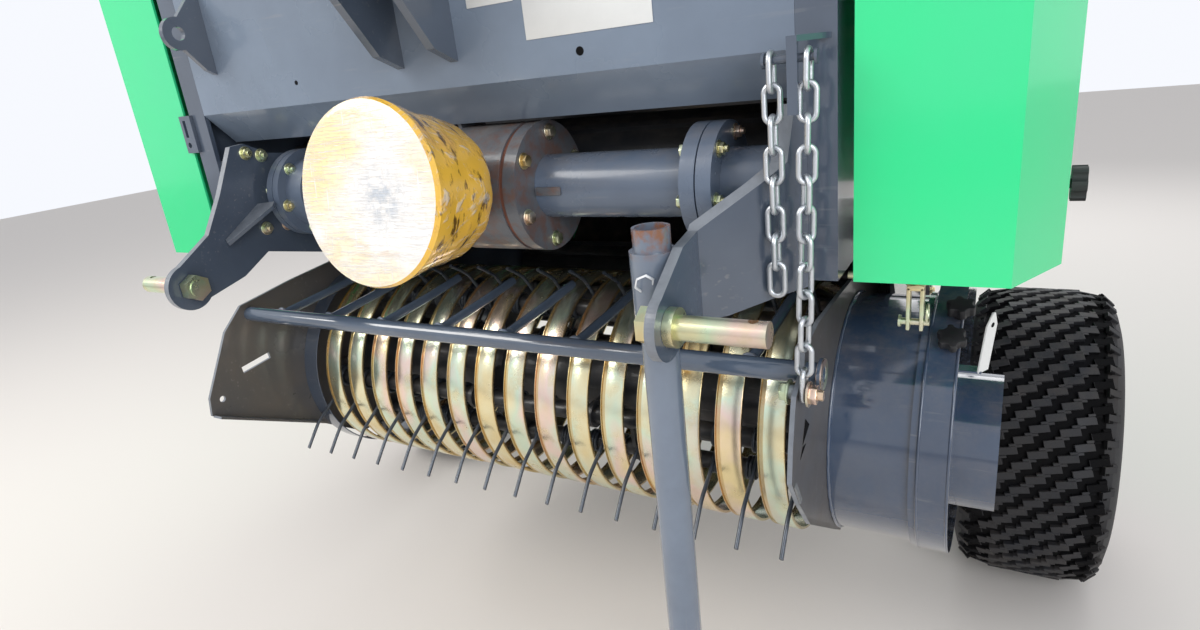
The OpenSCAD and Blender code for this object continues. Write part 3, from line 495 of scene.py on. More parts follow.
# faces that look into the bale chamber get painted shade, with dust; cut edges of plates are painted lighter, a painted
# highlight, with rubbed marks
chamber = Vector((0, *place["chamber"]))
secondLook(nodes["gate_skin"], "insideShadeAndDust",
           lambda face: face.normal.dot(Vector((0, face.center.y, face.center.z)) - chamber) < 0)
secondLook(nodes["gate_plates"], "insideShadeAndDust",
           lambda face: face.normal.x * face.center.x < 0 and abs(face.center.x) < 0.572)
# the edge faces get the painted highlight with rubbed marks
for name in ("hitch_plate_left", "hitch_plate_right", "pickup_plate_right", "pickup_plate_left"):
    secondLook(nodes[name], "edgeHighlightAndRubs", lambda face: abs(face.normal.x) < 0.3)
print("materials made:", len(materials))

# folded and cut edges catch the light
edgeWidths = {
    "chain_case": 0.0024, "drive_drum": 0.0012, "top_hitch": 0.0015, "gearbox": 0.0018, "cover_left": 0.004,
    "cover_right": 0.004, "front_panel": 0.002, "hitch_plate_left": 0.0018, "hitch_plate_right": 0.0018,
    "others": 0.0008,
}
for name, node in nodes.items():
    edge = node.modifiers.new("edges", "BEVEL")
    edge.width, edge.segments, edge.limit_method = edgeWidths.get(name, edgeWidths["others"]), 2, "ANGLE"
    edge.angle_limit, edge.harden_normals = radians(50), False


# modelling steps used by the pieces
def editing(obj):
    pick(obj)
    bpy.ops.object.mode_set(mode="EDIT")


def chooseFaces(obj, wanted):
    mesh = bmesh.from_edit_mesh(obj.data)
    for face in mesh.faces:
        face.select_set(False)
    for face in mesh.faces:
        if wanted(face):
            face.select_set(True)
    mesh.select_flush_mode()
    bmesh.update_edit_mesh(obj.data)


def chooseAll():
    bpy.ops.mesh.select_all(action="SELECT")


def extrude(way):
    bpy.ops.mesh.extrude_region_move(TRANSFORM_OT_translate={"value": way})


def evenNormals(obj):
    editing(obj)
    chooseAll()
    bpy.ops.mesh.normals_make_consistent(inside=False)
    endEdit()
    return obj


def roughen(obj, offset, seed):
    editing(obj)
    chooseAll()
    bpy.ops.transform.vertex_random(offset=offset, seed=seed)
    endEdit()


def named(obj, name):
    obj.name = obj.data.name = name
    return obj


def moved(obj, spot=(0, 0, 0), turn=(0, 0, 0)):
    # one turn and move, kept in the mesh
    obj.location, obj.rotation_euler = spot, turn
    return settle(obj)


def dress(obj, look, angle=32):
    obj.data.materials.clear()
    obj.data.materials.append(materials[look])
    pick(obj)
    bpy.ops.object.shade_smooth_by_angle(angle=radians(angle))
    return obj


def soften(obj, width, segments=2):
    pick(obj)
    modifier = obj.modifiers.new("soften", "BEVEL")
    modifier.width, modifier.segments, modifier.limit_method = width, segments, "ANGLE"
    bpy.ops.object.modifier_apply(modifier="soften")
    return obj


def together(parts, name):
    deselectAll()
    for part in parts:
        part.select_set(True)
    bpy.context.view_layer.objects.active = parts[0]
    if len(parts) > 1:
        bpy.ops.object.join()
    return settle(named(bpy.context.object, name))


def stamp(template, spot, direction=None, size=1.0, spin=0.0):
    # a copy of a template that stands along +Z, turned to a direction
    copy = template.copy()
    copy.data = template.data.copy()
    scene.collection.objects.link(copy)
    turn = Vector(direction).to_track_quat("Z", "Y").to_matrix().to_4x4() if direction else Matrix()
    copy.matrix_world = Matrix.Translation(spot) @ turn @ Matrix.Rotation(spin, 4, "Z") @ Matrix.Scale(size, 4)
    return copy


def drop(*templates):
    for template in templates:
        bpy.data.objects.remove(template)


def drumX(x0, x1, at, radius, vertices=40):
    # cylinder along X between two planes
    deselectAll()
    bpy.ops.mesh.primitive_cylinder_add(
        vertices=vertices, radius=radius, depth=x1 - x0, location=((x0 + x1) / 2, *at), rotation=alongX)
    return settle(bpy.context.object)


def pillar(radius, low, high, vertices):
    # cylinder along Z between two heights
    deselectAll()
    bpy.ops.mesh.primitive_cylinder_add(
        vertices=vertices, radius=radius, depth=high - low, location=(0, 0, (low + high) / 2))
    return settle(bpy.context.object)


def torus(radius, thick, steps, spot=(0, 0, 0), turn=alongX):
    deselectAll()
    bpy.ops.mesh.primitive_torus_add(
        major_radius=radius, minor_radius=thick, major_segments=steps, minor_segments=8, location=spot, rotation=turn)
    return bpy.context.object


def turned(profile, vertices):
    # profile of (radius, height) pairs turned round Z: a cone, then its end face extruded on
    (r0, z0), (r1, z1) = profile[:2]
    deselectAll()
    bpy.ops.mesh.primitive_cone_add(
        vertices=vertices, radius1=r0, radius2=r1, depth=z1 - z0, location=(0, 0, (z0 + z1) / 2))
    obj = settle(bpy.context.object)
    editing(obj)
    chooseFaces(obj, lambda face: len(face.verts) == vertices and face.calc_center_median().z > z1 - 1e-6)
    for (ra, za), (rb, zb) in zip(profile[1:], profile[2:]):
        extrude((0, 0, zb - za))
        bpy.ops.transform.resize(value=(rb / ra, rb / ra, 1), center_override=(0, 0, zb))
    endEdit()
    return evenNormals(obj)


def wire(points, radius, vertices=8):
    # a round end face extruded from point to point
    points = [Vector(point) for point in points]
    ahead = points[1] - points[0]
    deselectAll()
    bpy.ops.mesh.primitive_circle_add(
        vertices=vertices, radius=radius, fill_type="NGON", location=points[0],
        rotation=ahead.to_track_quat("Z", "Y").to_euler())
    obj = settle(bpy.context.object)
    editing(obj)
    chooseAll()
    for a, b in zip(points, points[1:]):
        extrude(b - a)
    endEdit()
    return evenNormals(obj)


def box(low, high):
    # between two corners, in any order
    spans = [sorted(pair) for pair in zip(low, high)]
    deselectAll()
    bpy.ops.mesh.primitive_cube_add(size=1, location=[(a + b) / 2 for a, b in spans])
    obj = bpy.context.object
    obj.scale = [b - a for a, b in spans]
    return settle(obj)


def polar(centre, radius, degrees):
    return (centre[0] + radius * cos(radians(degrees)), centre[1] + radius * sin(radians(degrees)))


# stripper bands: one rolled section, swept round the reel and the beam, then copied
bandValues = {
    "radius": 0.209, "beamRadius": 0.0433, "thick": 0.0024, "count": 15,
    # across the band, and rise over its radius: lip, step and flat
    "section": [(-0.0210, -0.0018), (-0.0204, -0.0008), (-0.0194, -0.0008), (-0.0184, -0.0036), (-0.0124, -0.0042),
                (-0.0118, -0.0002), (-0.0112, 0.0), (0.0188, 0.0), (0.0204, -0.0008), (0.0210, -0.0024)],
}


def makeBand(values):
    section, reel, beam = values["section"], Vector((0, *place["reel"])), Vector((0, *place["beam"]))
    along = beam - reel
    turn = math.degrees(math.atan2(along.z, along.y))
    opening = math.degrees(math.acos((values["radius"] - values["beamRadius"]) / along.length))
    deselectAll()
    bpy.ops.mesh.primitive_grid_add(x_subdivisions=len(section) - 1, y_subdivisions=1, size=2, location=(0, 0, 0))
    band = bpy.context.object
    for vert in band.data.vertices:
        x, rise = section[round((vert.co.x + 1) / 2 * (len(section) - 1))]
        vert.co = (x, values["radius"] + rise - (values["thick"] if vert.co.y < 0 else 0), 0)
    moved(band, turn=(radians(turn + opening), 0, 0))
    moved(band, reel)
    editing(band)
    chooseAll()
    direction = [Vector((0, *polar((0, 0), 1, angle))) for angle in (turn - opening, turn + opening)]
    shrink = values["beamRadius"] - values["radius"]
    bpy.ops.mesh.spin(steps=60, angle=-radians(360 - 2 * opening), center=reel, axis=(1, 0, 0))  # turns the other way
    extrude(along + direction[0] * shrink)
    bpy.ops.mesh.spin(steps=12, angle=-radians(2 * opening), center=beam, axis=(1, 0, 0))
    extrude(-along - direction[1] * shrink)
    bpy.ops.mesh.delete(type="ONLY_FACE")
    chooseAll()
    bpy.ops.mesh.remove_doubles(threshold=0.00005)
    endEdit()
    return evenNormals(band)


band = makeBand(bandValues)
bands = together(
    [stamp(band, ((k - 7) * place["tinePitch"], 0, 0)) for k in range(bandValues["count"])], "stripperBands")
drop(band)
dress(bands, "bandZinc", 28)
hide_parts("stripper_bands")
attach(bands, "pickup")
print("stripper bands rolled:", len(bands.data.polygons), "faces")

# tines: round wire with a kink, three coils round each bar
tineValues = {
    "wire": 0.0033, "barRadius": 0.148, "coil": 0.0197, "coilPitch": 0.0068, "coilLean": 0.06, "count": 16,
    # angle and radius of the tip, and how far the tip leads its bar, in degrees
    "rows": [(201, 0.302, 21), (116, 0.280, 20), (25, 0.250, 22), (292, 0.262, 22)],
    # share of the way to the tip, and how far the wire is off the straight line there
    "bend": [(0.5, 0.0055), (0.62, 0.0085), (0.68, 0.0088), (0.8, 0.006)],
}


def makeTine(values, row):
    tipAngle, tipRadius, lead = row
    base = Vector((0, *polar(place["reel"], values["barRadius"], tipAngle - lead)))
    tip = Vector((0, *polar(place["reel"], tipRadius, tipAngle)))
    along = tip - base
    side = Vector((0, along.z, -along.y)).normalized()
    start = base + along.normalized() * (values["coil"] - 0.001) - side * 0.004
    bend = [base + along * share + side * off for share, off in values["bend"]]
    parts = [wire([start, *bend, tip], values["wire"], 10)]
    for k in (-1, 0, 1):
        spot = base + Vector((k * values["coilPitch"], 0, 0))
        parts.append(torus(values["coil"], values["wire"], 18, spot, (0, pi / 2 + values["coilLean"], 0)))
    return together(parts, "tine")


tines = []
for row in tineValues["rows"]:
    tine = makeTine(tineValues, row)
    tines += [stamp(tine, ((k - 7.5) * place["tinePitch"], 0, 0)) for k in range(tineValues["count"])]
    drop(tine)
tines = together(tines, "reelTines")
dress(tines, "tineSteel", 50)
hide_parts("reel_tines")
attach(tines, "reel")
print("tines bent:", len(tines.data.polygons), "faces")

# guard of the input shaft, wrapped in clear film
guardValues = {
    "tilt": 8.5, "radius": 0.118, "length": 0.140, "start": 0.1283, "x": 0.046, "folds": 0.0045, "foldSize": 0.035,
    # radius and height of the cone's rings; the rim's, from the outer radius and the end
    "cone": [(0.086, 0.0), (0.094, 0.003), (0.098, 0.012), (0.100, 0.030), (0.103, 0.045), (0.105, 0.060),
             (0.108, 0.075), (0.111, 0.090)],
    "rim": [(-0.004, -0.036), (-0.001, -0.020), (0, -0.008), (-0.003, -0.001), (-0.012, 0.0015)],
}


def makeGuard(values):
    radius, long = values["radius"], values["length"]
    rim = [(radius + out, long + on) for out, on in values["rim"]]
    guard = turned(values["cone"] + rim + [(radius * 0.45, long + 0.0005), (0.001, long)], 72)
    creased = bpy.data.textures.new("creases", "STUCCI")
    creased.noise_scale, creased.turbulence = values["foldSize"], 9.0
    sides = guard.vertex_groups.new(name="sides")
    sides.add([vert.index for vert in guard.data.vertices if vert.co.z < long - 0.010], 1.0, "REPLACE")
    folds = guard.modifiers.new("folds", "DISPLACE")
    folds.texture, folds.strength, folds.mid_level, folds.vertex_group = creased, values["folds"], 0.85, "sides"
    pick(guard)
    bpy.ops.object.modifier_apply(modifier="folds")
    moved(guard, (0, 0, values["start"]))
    moved(guard, turn=(radians(90 - values["tilt"]), 0, 0))
    return moved(guard, (values["x"], *place["drive"]))


guard = dress(named(makeGuard(guardValues), "wrappedGuard"), "wrapCone", 30)
ahead = Vector((0, *polar((0, 0), 1, 180 - guardValues["tilt"])))
secondLook(guard, "wrapFace", lambda face: face.normal.dot(ahead) > 0.8)
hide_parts("pto_guard")
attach(guard, "chassis")
print("shaft guard wrapped")

# bolts, nuts and washers
boltValues = {"across": 0.0098, "under": 0.002, "high": 0.0075, "washer": 0.0128, "shank": 0.0052, "past": 0.0075}


def makeBolt(values, shankUp):
    under, high = values["under"], values["high"]
    parts = [soften(pillar(values["across"], under, under + high, 6), 0.0009)]
    parts.append(soften(pillar(values["washer"], 0.0, under + 0.0002, 20), 0.0005, 1))
    if shankUp:
        parts.append(soften(pillar(values["shank"], under, high + values["past"], 20), 0.0005, 1))
    return together(parts, "bolt")


boltHead, boltNut = makeBolt(boltValues, False), makeBolt(boltValues, True)


def ringSpots(x, at, radius, count, start):
    return [(x, *polar(at, radius, start + k * 360 / count)) for k in range(count)]


def bolted(name, spots, body, look="yellowZinc"):
    # spots are (template, place, direction, size)
    made = [stamp(template, spot, direction, size, random.uniform(0, 1)) for template, spot, direction, size in spots]
    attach(dress(together(made, name), look), body)


# rows on the driveline: x, the way they look, template; places on the left hitch plate: (y, z)
driveRows = [(0.384, -1, boltHead), (0.426, 1, boltNut), (-0.405, -1, boltHead), (-0.375, 1, boltNut)]
hitchSpots = [(-0.636, 1.034), (-0.607, 1.026), (-0.562, 1.007), (-0.603, 0.962), (-0.588, 0.898), (-0.632, 0.900)]
drive = place["drive"]
driveBolts = [(template, spot, (way, 0, 0), 0.86)
              for x, way, template in driveRows for spot in ringSpots(x, drive, 0.064, 6, 12)]
driveBolts += [(boltHead, spot, (1, 0, 0), 0.92) for spot in ringSpots(0.147, drive, 0.078, 6, 24)]
bolted("driveBolts", driveBolts, "chassis")
bolted("hitchBolts", [(boltNut, (-0.4238, *at), (1, 0, 0), 0.92) for at in hitchSpots], "chassis")
hubFace = place["trackHalf"] + 0.024
for side, name in ((-1, "left"), (1, "right")):
    hubNuts = [(boltNut, spot, (side, 0, 0), 1.1) for spot in ringSpots(side * hubFace, place["axle"], 0.062, 5, 90)]
    bolted("hubNuts" + name.capitalize(), hubNuts, "wheel_" + name, "brightZinc")
print("bolts set")

# turf tyres: a bare carcass with rows of hooked blocks
tyreValues = {
    "radius": 0.295, "width": 0.256, "bare": 0.0078, "flat": 0.20, "shoulder": 0.38, "fall": 0.010,
    "rows": 40, "across": [0.0, 0.046, 0.092], "between": [0.023, 0.069],
    "block": (0.031, 0.014, 0.0098), "hook": (0.012, 0.005), "slant": 14,
    # share of the width, radius, tilt and size of the lugs on the shoulder
    "lug": (0.425, 0.2815, 0.75, 0.8),
    # the wall: share of the width, and radius
    "wall": [(0.44, 0.272), (0.475, 0.258), (0.497, 0.238), (0.499, 0.226), (0.488, 0.222), (0.486, 0.204),
             (0.476, 0.194), (0.44, 0.174), (0.41, 0.168), (0.40, 0.1565)],
    # limits of the painted shade on the bare carcass between the blocks
    "grooveShade": (0.2884, 0.104),  # rubber nearer to the axle, and to the wheel's middle, is the groove's
}


def revolved(profile, steps):
    # a closed outline of (x, radius) pairs swept once round X
    deselectAll()
    bpy.ops.mesh.primitive_circle_add(vertices=len(profile), radius=1, fill_type="NOTHING")
    obj = bpy.context.object
    for vert, (x, radius) in zip(obj.data.vertices, profile):
        vert.co = (x, radius, 0)
    editing(obj)
    chooseAll()
    bpy.ops.mesh.spin(steps=steps, angle=2 * pi, center=(0, 0, 0), axis=(1, 0, 0))
    chooseAll()
    bpy.ops.mesh.remove_doubles(threshold=0.00005)
    endEdit()
    return evenNormals(obj)


def crown(values, x):
    # radius and tilt of the tread at a distance from the middle
    flat, shoulder = values["width"] * values["flat"], values["width"] * values["shoulder"]
    if abs(x) <= flat:
        return values["radius"], 0.0
    slope = values["fall"] / (shoulder - flat)
    return values["radius"] - (abs(x) - flat) * slope, math.copysign(math.atan(slope), x)


def makeBlock(values):
    long, wide, high = values["block"]
    parts = [box((-long / 2, -wide / 2, -high), (long / 2, wide / 2, 0))]
    for side in (-1, 1):
        end, edge = side * long / 2, side * wide / 2
        parts.append(box((end, edge, -high), (end - side * values["hook"][0], edge + side * values["hook"][1], 0)))
    block = together(parts, "block")
    editing(block)
    chooseFaces(block, lambda face: face.normal.z > 0.9)
    bpy.ops.mesh.bevel(offset=0.0008, segments=1, affect="EDGES")
    endEdit()
    return block


def makeTyre(values):
    w, r, bare = values["width"], values["radius"], values["bare"]
    half = [(0.0, r - bare), (w * values["flat"], r - bare), (w * values["shoulder"], r - values["fall"] - bare)]
    half += [(w * share, radius) for share, radius in values["wall"]]
    carcass = revolved(half + [(-x, radius) for x, radius in reversed(half[1:])], 96)
    step = 2 * pi / values["rows"]
    spots = []
    for row, places in ((0, values["across"]), (1, values["between"])):
        for x in sorted({side * x for x in places for side in (-1, 1)}):
            spots.append((row * step / 2, x, *crown(values, x), 1.0, values["slant"]))
    share, radius, tilt, size = values["lug"]
    spots += [(step / 4, side * w * share, radius, side * tilt, size, 0) for side in (-1, 1)]
    block = makeBlock(values)
    blocks = []
    for turn, x, radius, tilt, size, slant in spots:
        copy = stamp(block, (0, 0, 0), None, size, radians(slant))
        copy.matrix_world = (Matrix.Rotation(turn, 4, "X") @ Matrix.Translation((x, 0, radius))
                             @ Matrix.Rotation(tilt, 4, "Y") @ copy.matrix_world)
        blocks.append(copy)
    drop(block)
    tread = together(blocks, "tread")
    editing(tread)
    chooseAll()
    bpy.ops.mesh.spin(steps=values["rows"] - 1, dupli=True, angle=2 * pi * (values["rows"] - 1) / values["rows"],
                      center=(0, 0, 0), axis=(1, 0, 0))
    endEdit()
    return together([carcass, tread], "tyre")


tyre = makeTyre(tyreValues)
hub, (deep, wide) = Vector(place["axle"]), tyreValues["grooveShade"]
for side, name in ((-1, "left"), (1, "right")):
    wheel = settle(stamp(tyre, (side * place["trackHalf"], *place["axle"])))
    dress(named(wheel, "turfTyre" + name.capitalize()), "rubber", 30)
    # the bare carcass between the blocks gets painted shade
    secondLook(wheel, "grooveShadeRubber", lambda face: (face.center.yz - hub).length < deep
               and abs(abs(face.center.x) - place["trackHalf"]) < wide)
    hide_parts("tyre_" + name)
    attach(wheel, "wheel_" + name)
drop(tyre)
print("tyres treaded")

# chain bolt and the bar's end on the right pickup plate
chainValues = {"at": (-0.662, 0.7139), "ends": [(boltNut, 0.5472, 1), (boltHead, 0.5262, -1)], "size": 1.25}
bolted("chainBolt", [(template, (x, *chainValues["at"]), (way, 0, 0), chainValues["size"])
                     for template, x, way in chainValues["ends"]], "pickup")
barEndValues = {"from": 0.5535, "to": 0.5595, "radius": 0.0195, "rim": 0.0095, "hollow": 0.005}
barEnd = drumX(barEndValues["from"], barEndValues["to"], place["wind"], barEndValues["radius"], 32)
editing(barEnd)
chooseFaces(barEnd, lambda face: face.normal.x > 0.9)
bpy.ops.mesh.inset(thickness=barEndValues["rim"])
extrude((-barEndValues["hollow"], 0, 0))
endEdit()
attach(dress(named(barEnd, "barEndWasher"), "yellowZinc"), "wind_guard")

# weld beads where the rods leave the bar
beadValues = {"pitch": 0.132, "count": 8, "radius": 0.0098, "thick": 0.0028, "off": (0.0130, 0.0018)}
bead = torus(beadValues["radius"], beadValues["thick"], 22, turn=(0, 0, 0))
roughen(bead, 0.0007, 3)
y, z = (a + b for a, b in zip(place["wind"], beadValues["off"]))
beads = [stamp(bead, ((k - 3.5) * beadValues["pitch"], y, z), (0, 1, 0.1), 1.0, k) for k in range(beadValues["count"])]
drop(bead)
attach(dress(together(beads, "guardWelds"), "tube", 60), "wind_guard")

# plates on the front panel that carry the labels, left blank: (x, x), (z, z)
plateValues = {
    "plates": [((0.098, 0.173), (1.199, 1.30)), ((0.186, 0.366), (1.150, 1.245)), ((0.190, 0.362), (1.262, 1.33))],
    "thick": 0.0012, "sunk": 0.0001,
}

front, back = place["panelY"] - plateValues["thick"], place["panelY"] - plateValues["sunk"]
plates = [soften(box((x0, front, z0), (x1, back, z1)), 0.0005) for (x0, x1), (z0, z1) in plateValues["plates"]]
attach(dress(together(plates, "blankPlates"), "whitePlate"), "chassis")

# collar of thin sheet on the left pickup plate, round the reel's end
collarValues = {"radius": 0.212, "thick": 0.0022, "from": -0.5448, "to": -0.508}
r, t, x0, x1 = (collarValues[k] for k in ("radius", "thick", "from", "to"))
collar = revolved([(x0, r - t), (x1, r - t), (x1 + 0.0006, r - t / 2), (x1, r), (x0, r)], 96)
moved(collar, (0, *place["reel"]))
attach(dress(named(collar, "reelCollar"), "anthracite"), "pickup")
print("small parts on the pickup made")

# chain case: star knobs, a latch plate, the rim round the drum and the cap's raised edge
caseValues = {"rims": (0.6568, 0.6943), "rimRadius": 0.1975, "rimThick": 0.0022, "weldX": 0.5395, "weldRadius": 0.1912,
              "weldThick": 0.0030, "knobs": [(0.6855, 123), (0.6915, 107)], "knobRadius": 0.199}

knob = pillar(0.019, 0.008, 0.022, 36)
editing(knob)
mesh = bmesh.from_edit_mesh(knob.data)
for vert in mesh.verts:
    # three steps of 10 degrees in, three out
    vert.select_set(int((math.degrees(math.atan2(vert.co.y, vert.co.x)) % 360 + 5) // 10) % 6 in (0, 1, 2))
mesh.select_flush_mode()
bpy.ops.transform.resize(value=(0.78, 0.78, 1), center_override=(0, 0, 0.015))
endEdit()
knob = together([soften(knob, 0.0015), pillar(0.008, 0, 0.01, 24)], "starKnob")
knobs = [stamp(knob, (x, *polar(place["reel"], caseValues["knobRadius"], angle)), (0, *polar((0, 0), 1, angle)))
         for x, angle in caseValues["knobs"]]
drop(knob)
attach(dress(together(knobs, "caseKnobs"), "knobPlastic"), "pickup")

latchValues = {
    "strip": ((0.7225, -0.452, 0.668), (0.7255, -0.428, 0.735)), "point": 0.018, "tip": (0.724, -0.440, 0.753),
    "foot": ((0.6955, -0.4505, 0.668), (0.7230, -0.4295, 0.671)), "hole": (-0.440, 0.736), "holeRadius": 0.0035,
    "lean": 6, "twist": -27, "from": (-0.724, 0.440, -0.70), "to": (0.727, -0.440, 0.70),
}
latch = box(*latchValues["strip"])
editing(latch)
chooseFaces(latch, lambda face: face.normal.z > 0.9)
extrude((0, 0, latchValues["point"]))
bpy.ops.transform.resize(value=(1, 0.2, 1), center_override=latchValues["tip"])
endEdit()
foot = soften(box(*latchValues["foot"]), 0.0006, 1)
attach(dress(named(foot, "latchFoot"), "caseBlue"), "pickup")
# the latch's hole is a dark disc of painted shade
latchHoleShade = drumX(0.7222, 0.7258, latchValues["hole"], latchValues["holeRadius"], 20)
latch = soften(latch, 0.0006, 1)
for leaf in (latch, latchHoleShade):
    # the strip is twisted towards the front and leans out
    leaf.data.transform(
        Matrix.Translation(latchValues["to"]) @ Matrix.Rotation(radians(latchValues["lean"]), 4, "Y")
        @ Matrix.Rotation(radians(latchValues["twist"]), 4, "Z") @ Matrix.Translation(latchValues["from"]))
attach(dress(named(latch, "caseLatch"), "whitePlate"), "pickup")
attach(dress(named(latchHoleShade, "latchHoleShade"), "holeShade"), "pickup")

# clevis with its pin and spring ring under the right cover
clevisValues = {"at": (0.651, -0.56), "low": 0.768, "high": 0.836, "gap": 0.0075, "leg": (0.0022, 0.008),
                "rod": 0.5735}
(x, y), low, high, gap, (dx, dy), rod = clevisValues.values()
clevis = [((x - gap - dx, low), (x - gap + dx, high - 0.014)), ((x + gap - dx, low), (x + gap + dx, high - 0.014)),
          ((x - gap - dx, high - 0.018), (x + gap + dx, high - 0.012))]
clevis = [soften(box((x0, y - dy, z0), (x1, y + dy, z1)), 0.001) for (x0, z0), (x1, z1) in clevis]
for x0, x1, radius in ((x - 0.016, x + 0.016, 0.0042), (x - 0.0185, x - 0.0155, 0.0075)):
    clevis.append(drumX(x0, x1, (y, low + 0.009), radius, 20))
clevis.append(stamp(boltNut, (x, y, high - 0.012), (0, 0, 1), 0.9))
bent = [(rod, -0.003), (x - 0.012, -0.003), (x, -0.006), (x, -0.014)]
clevis.append(wire([(x0, y, high + drop0) for x0, drop0 in bent], 0.005, 12))
ring = [(x + 0.0135, y + 0.010 * cos(k * pi / 8), low + 0.020 + 0.012 * sin(k * pi / 8)) for k in range(-4, 11)]
clevis.append(wire(ring, 0.0013))
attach(dress(together(clevis, "frameClevis"), "yellowZinc", 40), "chassis")

rims = [settle(torus(caseValues["rimRadius"], caseValues["rimThick"], 120, (x, *place["reel"])))
        for x in caseValues["rims"]]
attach(dress(together(rims, "caseRims"), "caseBlue", 60), "pickup")
drumWeld = settle(torus(caseValues["weldRadius"], caseValues["weldThick"], 150, (caseValues["weldX"], *place["reel"])))
roughen(drumWeld, 0.0008, 5)
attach(dress(named(drumWeld, "drumWeld"), "caseBlue", 60), "pickup")

# punched mark and worn corner of the right pickup plate, as (y, z) outlines; the mark's slots are thin dark outlines of
# painted shade
markValues = {
    "x": 0.5382, "corner": [(-0.700, 0.606), (-0.676, 0.568), (-0.670, 0.572), (-0.693, 0.609)],
    "slots": [[(-0.655, 0.640), (-0.622, 0.652), (-0.640, 0.668)], [(-0.668, 0.626), (-0.640, 0.634), (-0.655, 0.637)]],
}


def makeMark(points, thick):
    # a flat outline in the right plate's outer face
    deselectAll()
    bpy.ops.mesh.primitive_circle_add(vertices=len(points), radius=1, fill_type="NGON")
    mark = bpy.context.object
    for vert, (y, z) in zip(mark.data.vertices, points):
        vert.co = (markValues["x"], y, z)
    editing(mark)
    chooseAll()
    extrude((thick, 0, 0))
    endEdit()
    return evenNormals(mark)


slots = [makeMark(points, 0.0003) for points in markValues["slots"]]
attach(dress(together(slots, "plateSlotShades"), "holeShade"), "pickup")
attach(dress(named(makeMark(markValues["corner"], 0.002), "plateEdge"), "wornEdge"), "pickup")
print("chain case finished")

# gearbox: gasket ring, lifting eye and the key on the tube's flange
gearValues = {
    "gasket": (0.1185, 0.1272), "gasketRadius": 0.0925, "eyeAt": (-0.008, -0.535, 1.043),
    # (length, radius) outline of the eye
    "eye": [(-0.030, 0.0095), (0.030, 0.0095), (0.030, 0.0145), (0.028, 0.0155), (-0.030, 0.0155)],
    "key": ((0.149, -0.0495, -0.006), (0.192, -0.040, 0.006)),
}
gasket = drumX(*gearValues["gasket"], drive, gearValues["gasketRadius"], 64)
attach(dress(named(gasket, "gasket"), "gasketRed", 30), "chassis")
eye = moved(revolved(gearValues["eye"], 32), gearValues["eyeAt"], (0, 0, pi / 2))
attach(dress(named(eye, "gearboxEye"), "cast"), "chassis")
key = box(*((x, drive[0] + y, drive[1] + z) for x, y, z in gearValues["key"]))
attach(dress(named(soften(key, 0.002), "flangeKey"), "cast"), "chassis")

# wire clip of the stand
clipPoints = [(0.392, -0.764, 0.866), (0.388, -0.772, 0.874), (0.392, -0.774, 0.884), (0.402, -0.772, 0.888),
              (0.408, -0.766, 0.882), (0.404, -0.763, 0.872)]
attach(dress(named(wire(clipPoints, 0.0016), "standClip"), "whiteWire", 60), "chassis")
print("clips bent")

# roller bearings: bolted flanges on the tailgate, bolts on the frame's ones; angles round the chamber
ringValues = {
    "ring": 0.562, "flange": 0.031, "thick": 0.0085,
    "front": (192, 174.6, 157.2, 139.8, 122.4, 105, 268, 288), "frontX": 0.5866, "frontBolts": (0.032, 4),
    "gate": (84, 66.6, 49.2, 31.8, 14.4, -3, -20.4, -37.8), "gateX": 0.5743, "gateBolts": (0.0255, 3),
}


def flangeBolts(side, x, at, radius, count):
    return [(boltHead, spot, (side, 0, 0), 0.72) for spot in ringSpots(side * x, at, radius, count, 30)]


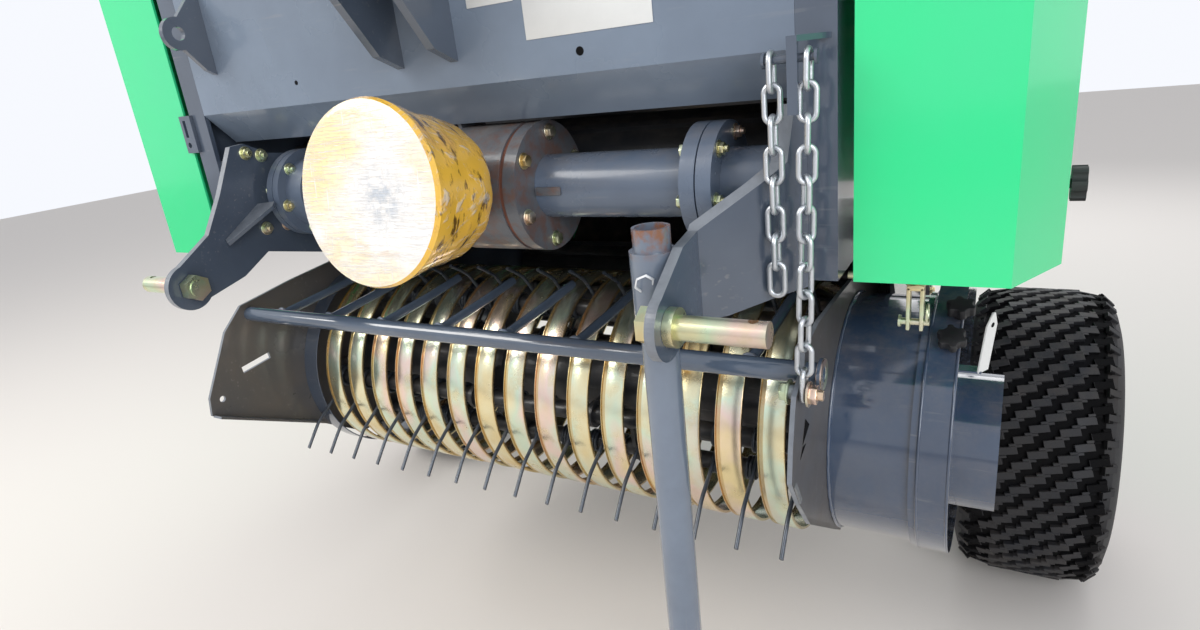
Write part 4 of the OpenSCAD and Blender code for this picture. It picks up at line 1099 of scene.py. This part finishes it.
frontBolts, gateBolts, flanges = [], [], []
near, far = ringValues["gateX"], ringValues["gateX"] + ringValues["thick"]
for side in (-1, 1):
    for angle in ringValues["front"]:
        at = polar(place["chamber"], ringValues["ring"], angle)
        frontBolts += flangeBolts(side, ringValues["frontX"], at, *ringValues["frontBolts"])
    for angle in ringValues["gate"]:
        at = polar(place["chamber"], ringValues["ring"], angle)
        flanges.append(soften(drumX(*sorted((side * near, side * far)), at, ringValues["flange"]), 0.001))
        gateBolts += flangeBolts(side, far, at, *ringValues["gateBolts"])
bolted("bearingBolts", frontBolts, "chassis")
bolted("gateBolts", gateBolts, "tailgate")
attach(dress(together(flanges, "gateBearings"), "blackSteel"), "tailgate")

# weld beads where the tailgate's skin meets its side plates
seamValues = {"radius": 0.6655, "x": 0.5668, "bead": 0.0032, "from": -63, "to": 91, "steps": 120, "uneven": 0.0004}


def makeSeam(values, side):
    points = []
    for k in range(values["steps"] + 1):
        angle = values["from"] + (values["to"] - values["from"]) * k / values["steps"]
        radius = values["radius"] + values["uneven"] * (k % 2)
        points.append((side * values["x"], *polar(place["chamber"], radius, angle)))
    return wire(points, values["bead"])


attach(dress(together([makeSeam(seamValues, side) for side in (-1, 1)], "gateSeams"), "green", 60), "tailgate")

# hub caps, as (radius, height) outlines, and valve stems
hubValues = {"cap": [(0.001, 0.022), (0.016, 0.021), (0.025, 0.016), (0.029, 0.006), (0.0295, 0.0)], "face": 0.0485,
             "stem": (0.058, 0.092), "stemOff": 0.136, "stemRadius": 0.0045}
for side, name in ((-1, "left"), (1, "right")):
    cap = moved(turned(hubValues["cap"], 40), turn=(0, side * pi / 2, 0))
    moved(cap, (side * (place["trackHalf"] + hubValues["face"]), *place["axle"]))
    evenNormals(cap)
    y, z = place["axle"]
    stem = drumX(*sorted(side * (place["trackHalf"] + off) for off in hubValues["stem"]), (y + hubValues["stemOff"], z),
                 hubValues["stemRadius"], 16)
    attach(dress(together([cap, stem], "hubCap" + name.capitalize()), "blackSteel", 40), "wheel_" + name)

# holes of the front panel, dark discs of painted shade: radius, x, z
holeValues = {"holes": [(0.0035, -0.267, 1.137), (0.0055, 0.263, 1.129)], "deep": 0.0012, "proud": 0.0008}
holes = []
for radius, x, z in holeValues["holes"]:
    hole = moved(drumX(0, holeValues["deep"], (0, 0), radius, 20), turn=(0, 0, -pi / 2))
    holes.append(moved(hole, (x, place["panelY"] + holeValues["proud"], z)))
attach(dress(together(holes, "panelHoleShades"), "holeShade"), "chassis")
print("running gear and tailgate finished")

drop(boltHead, boltNut)
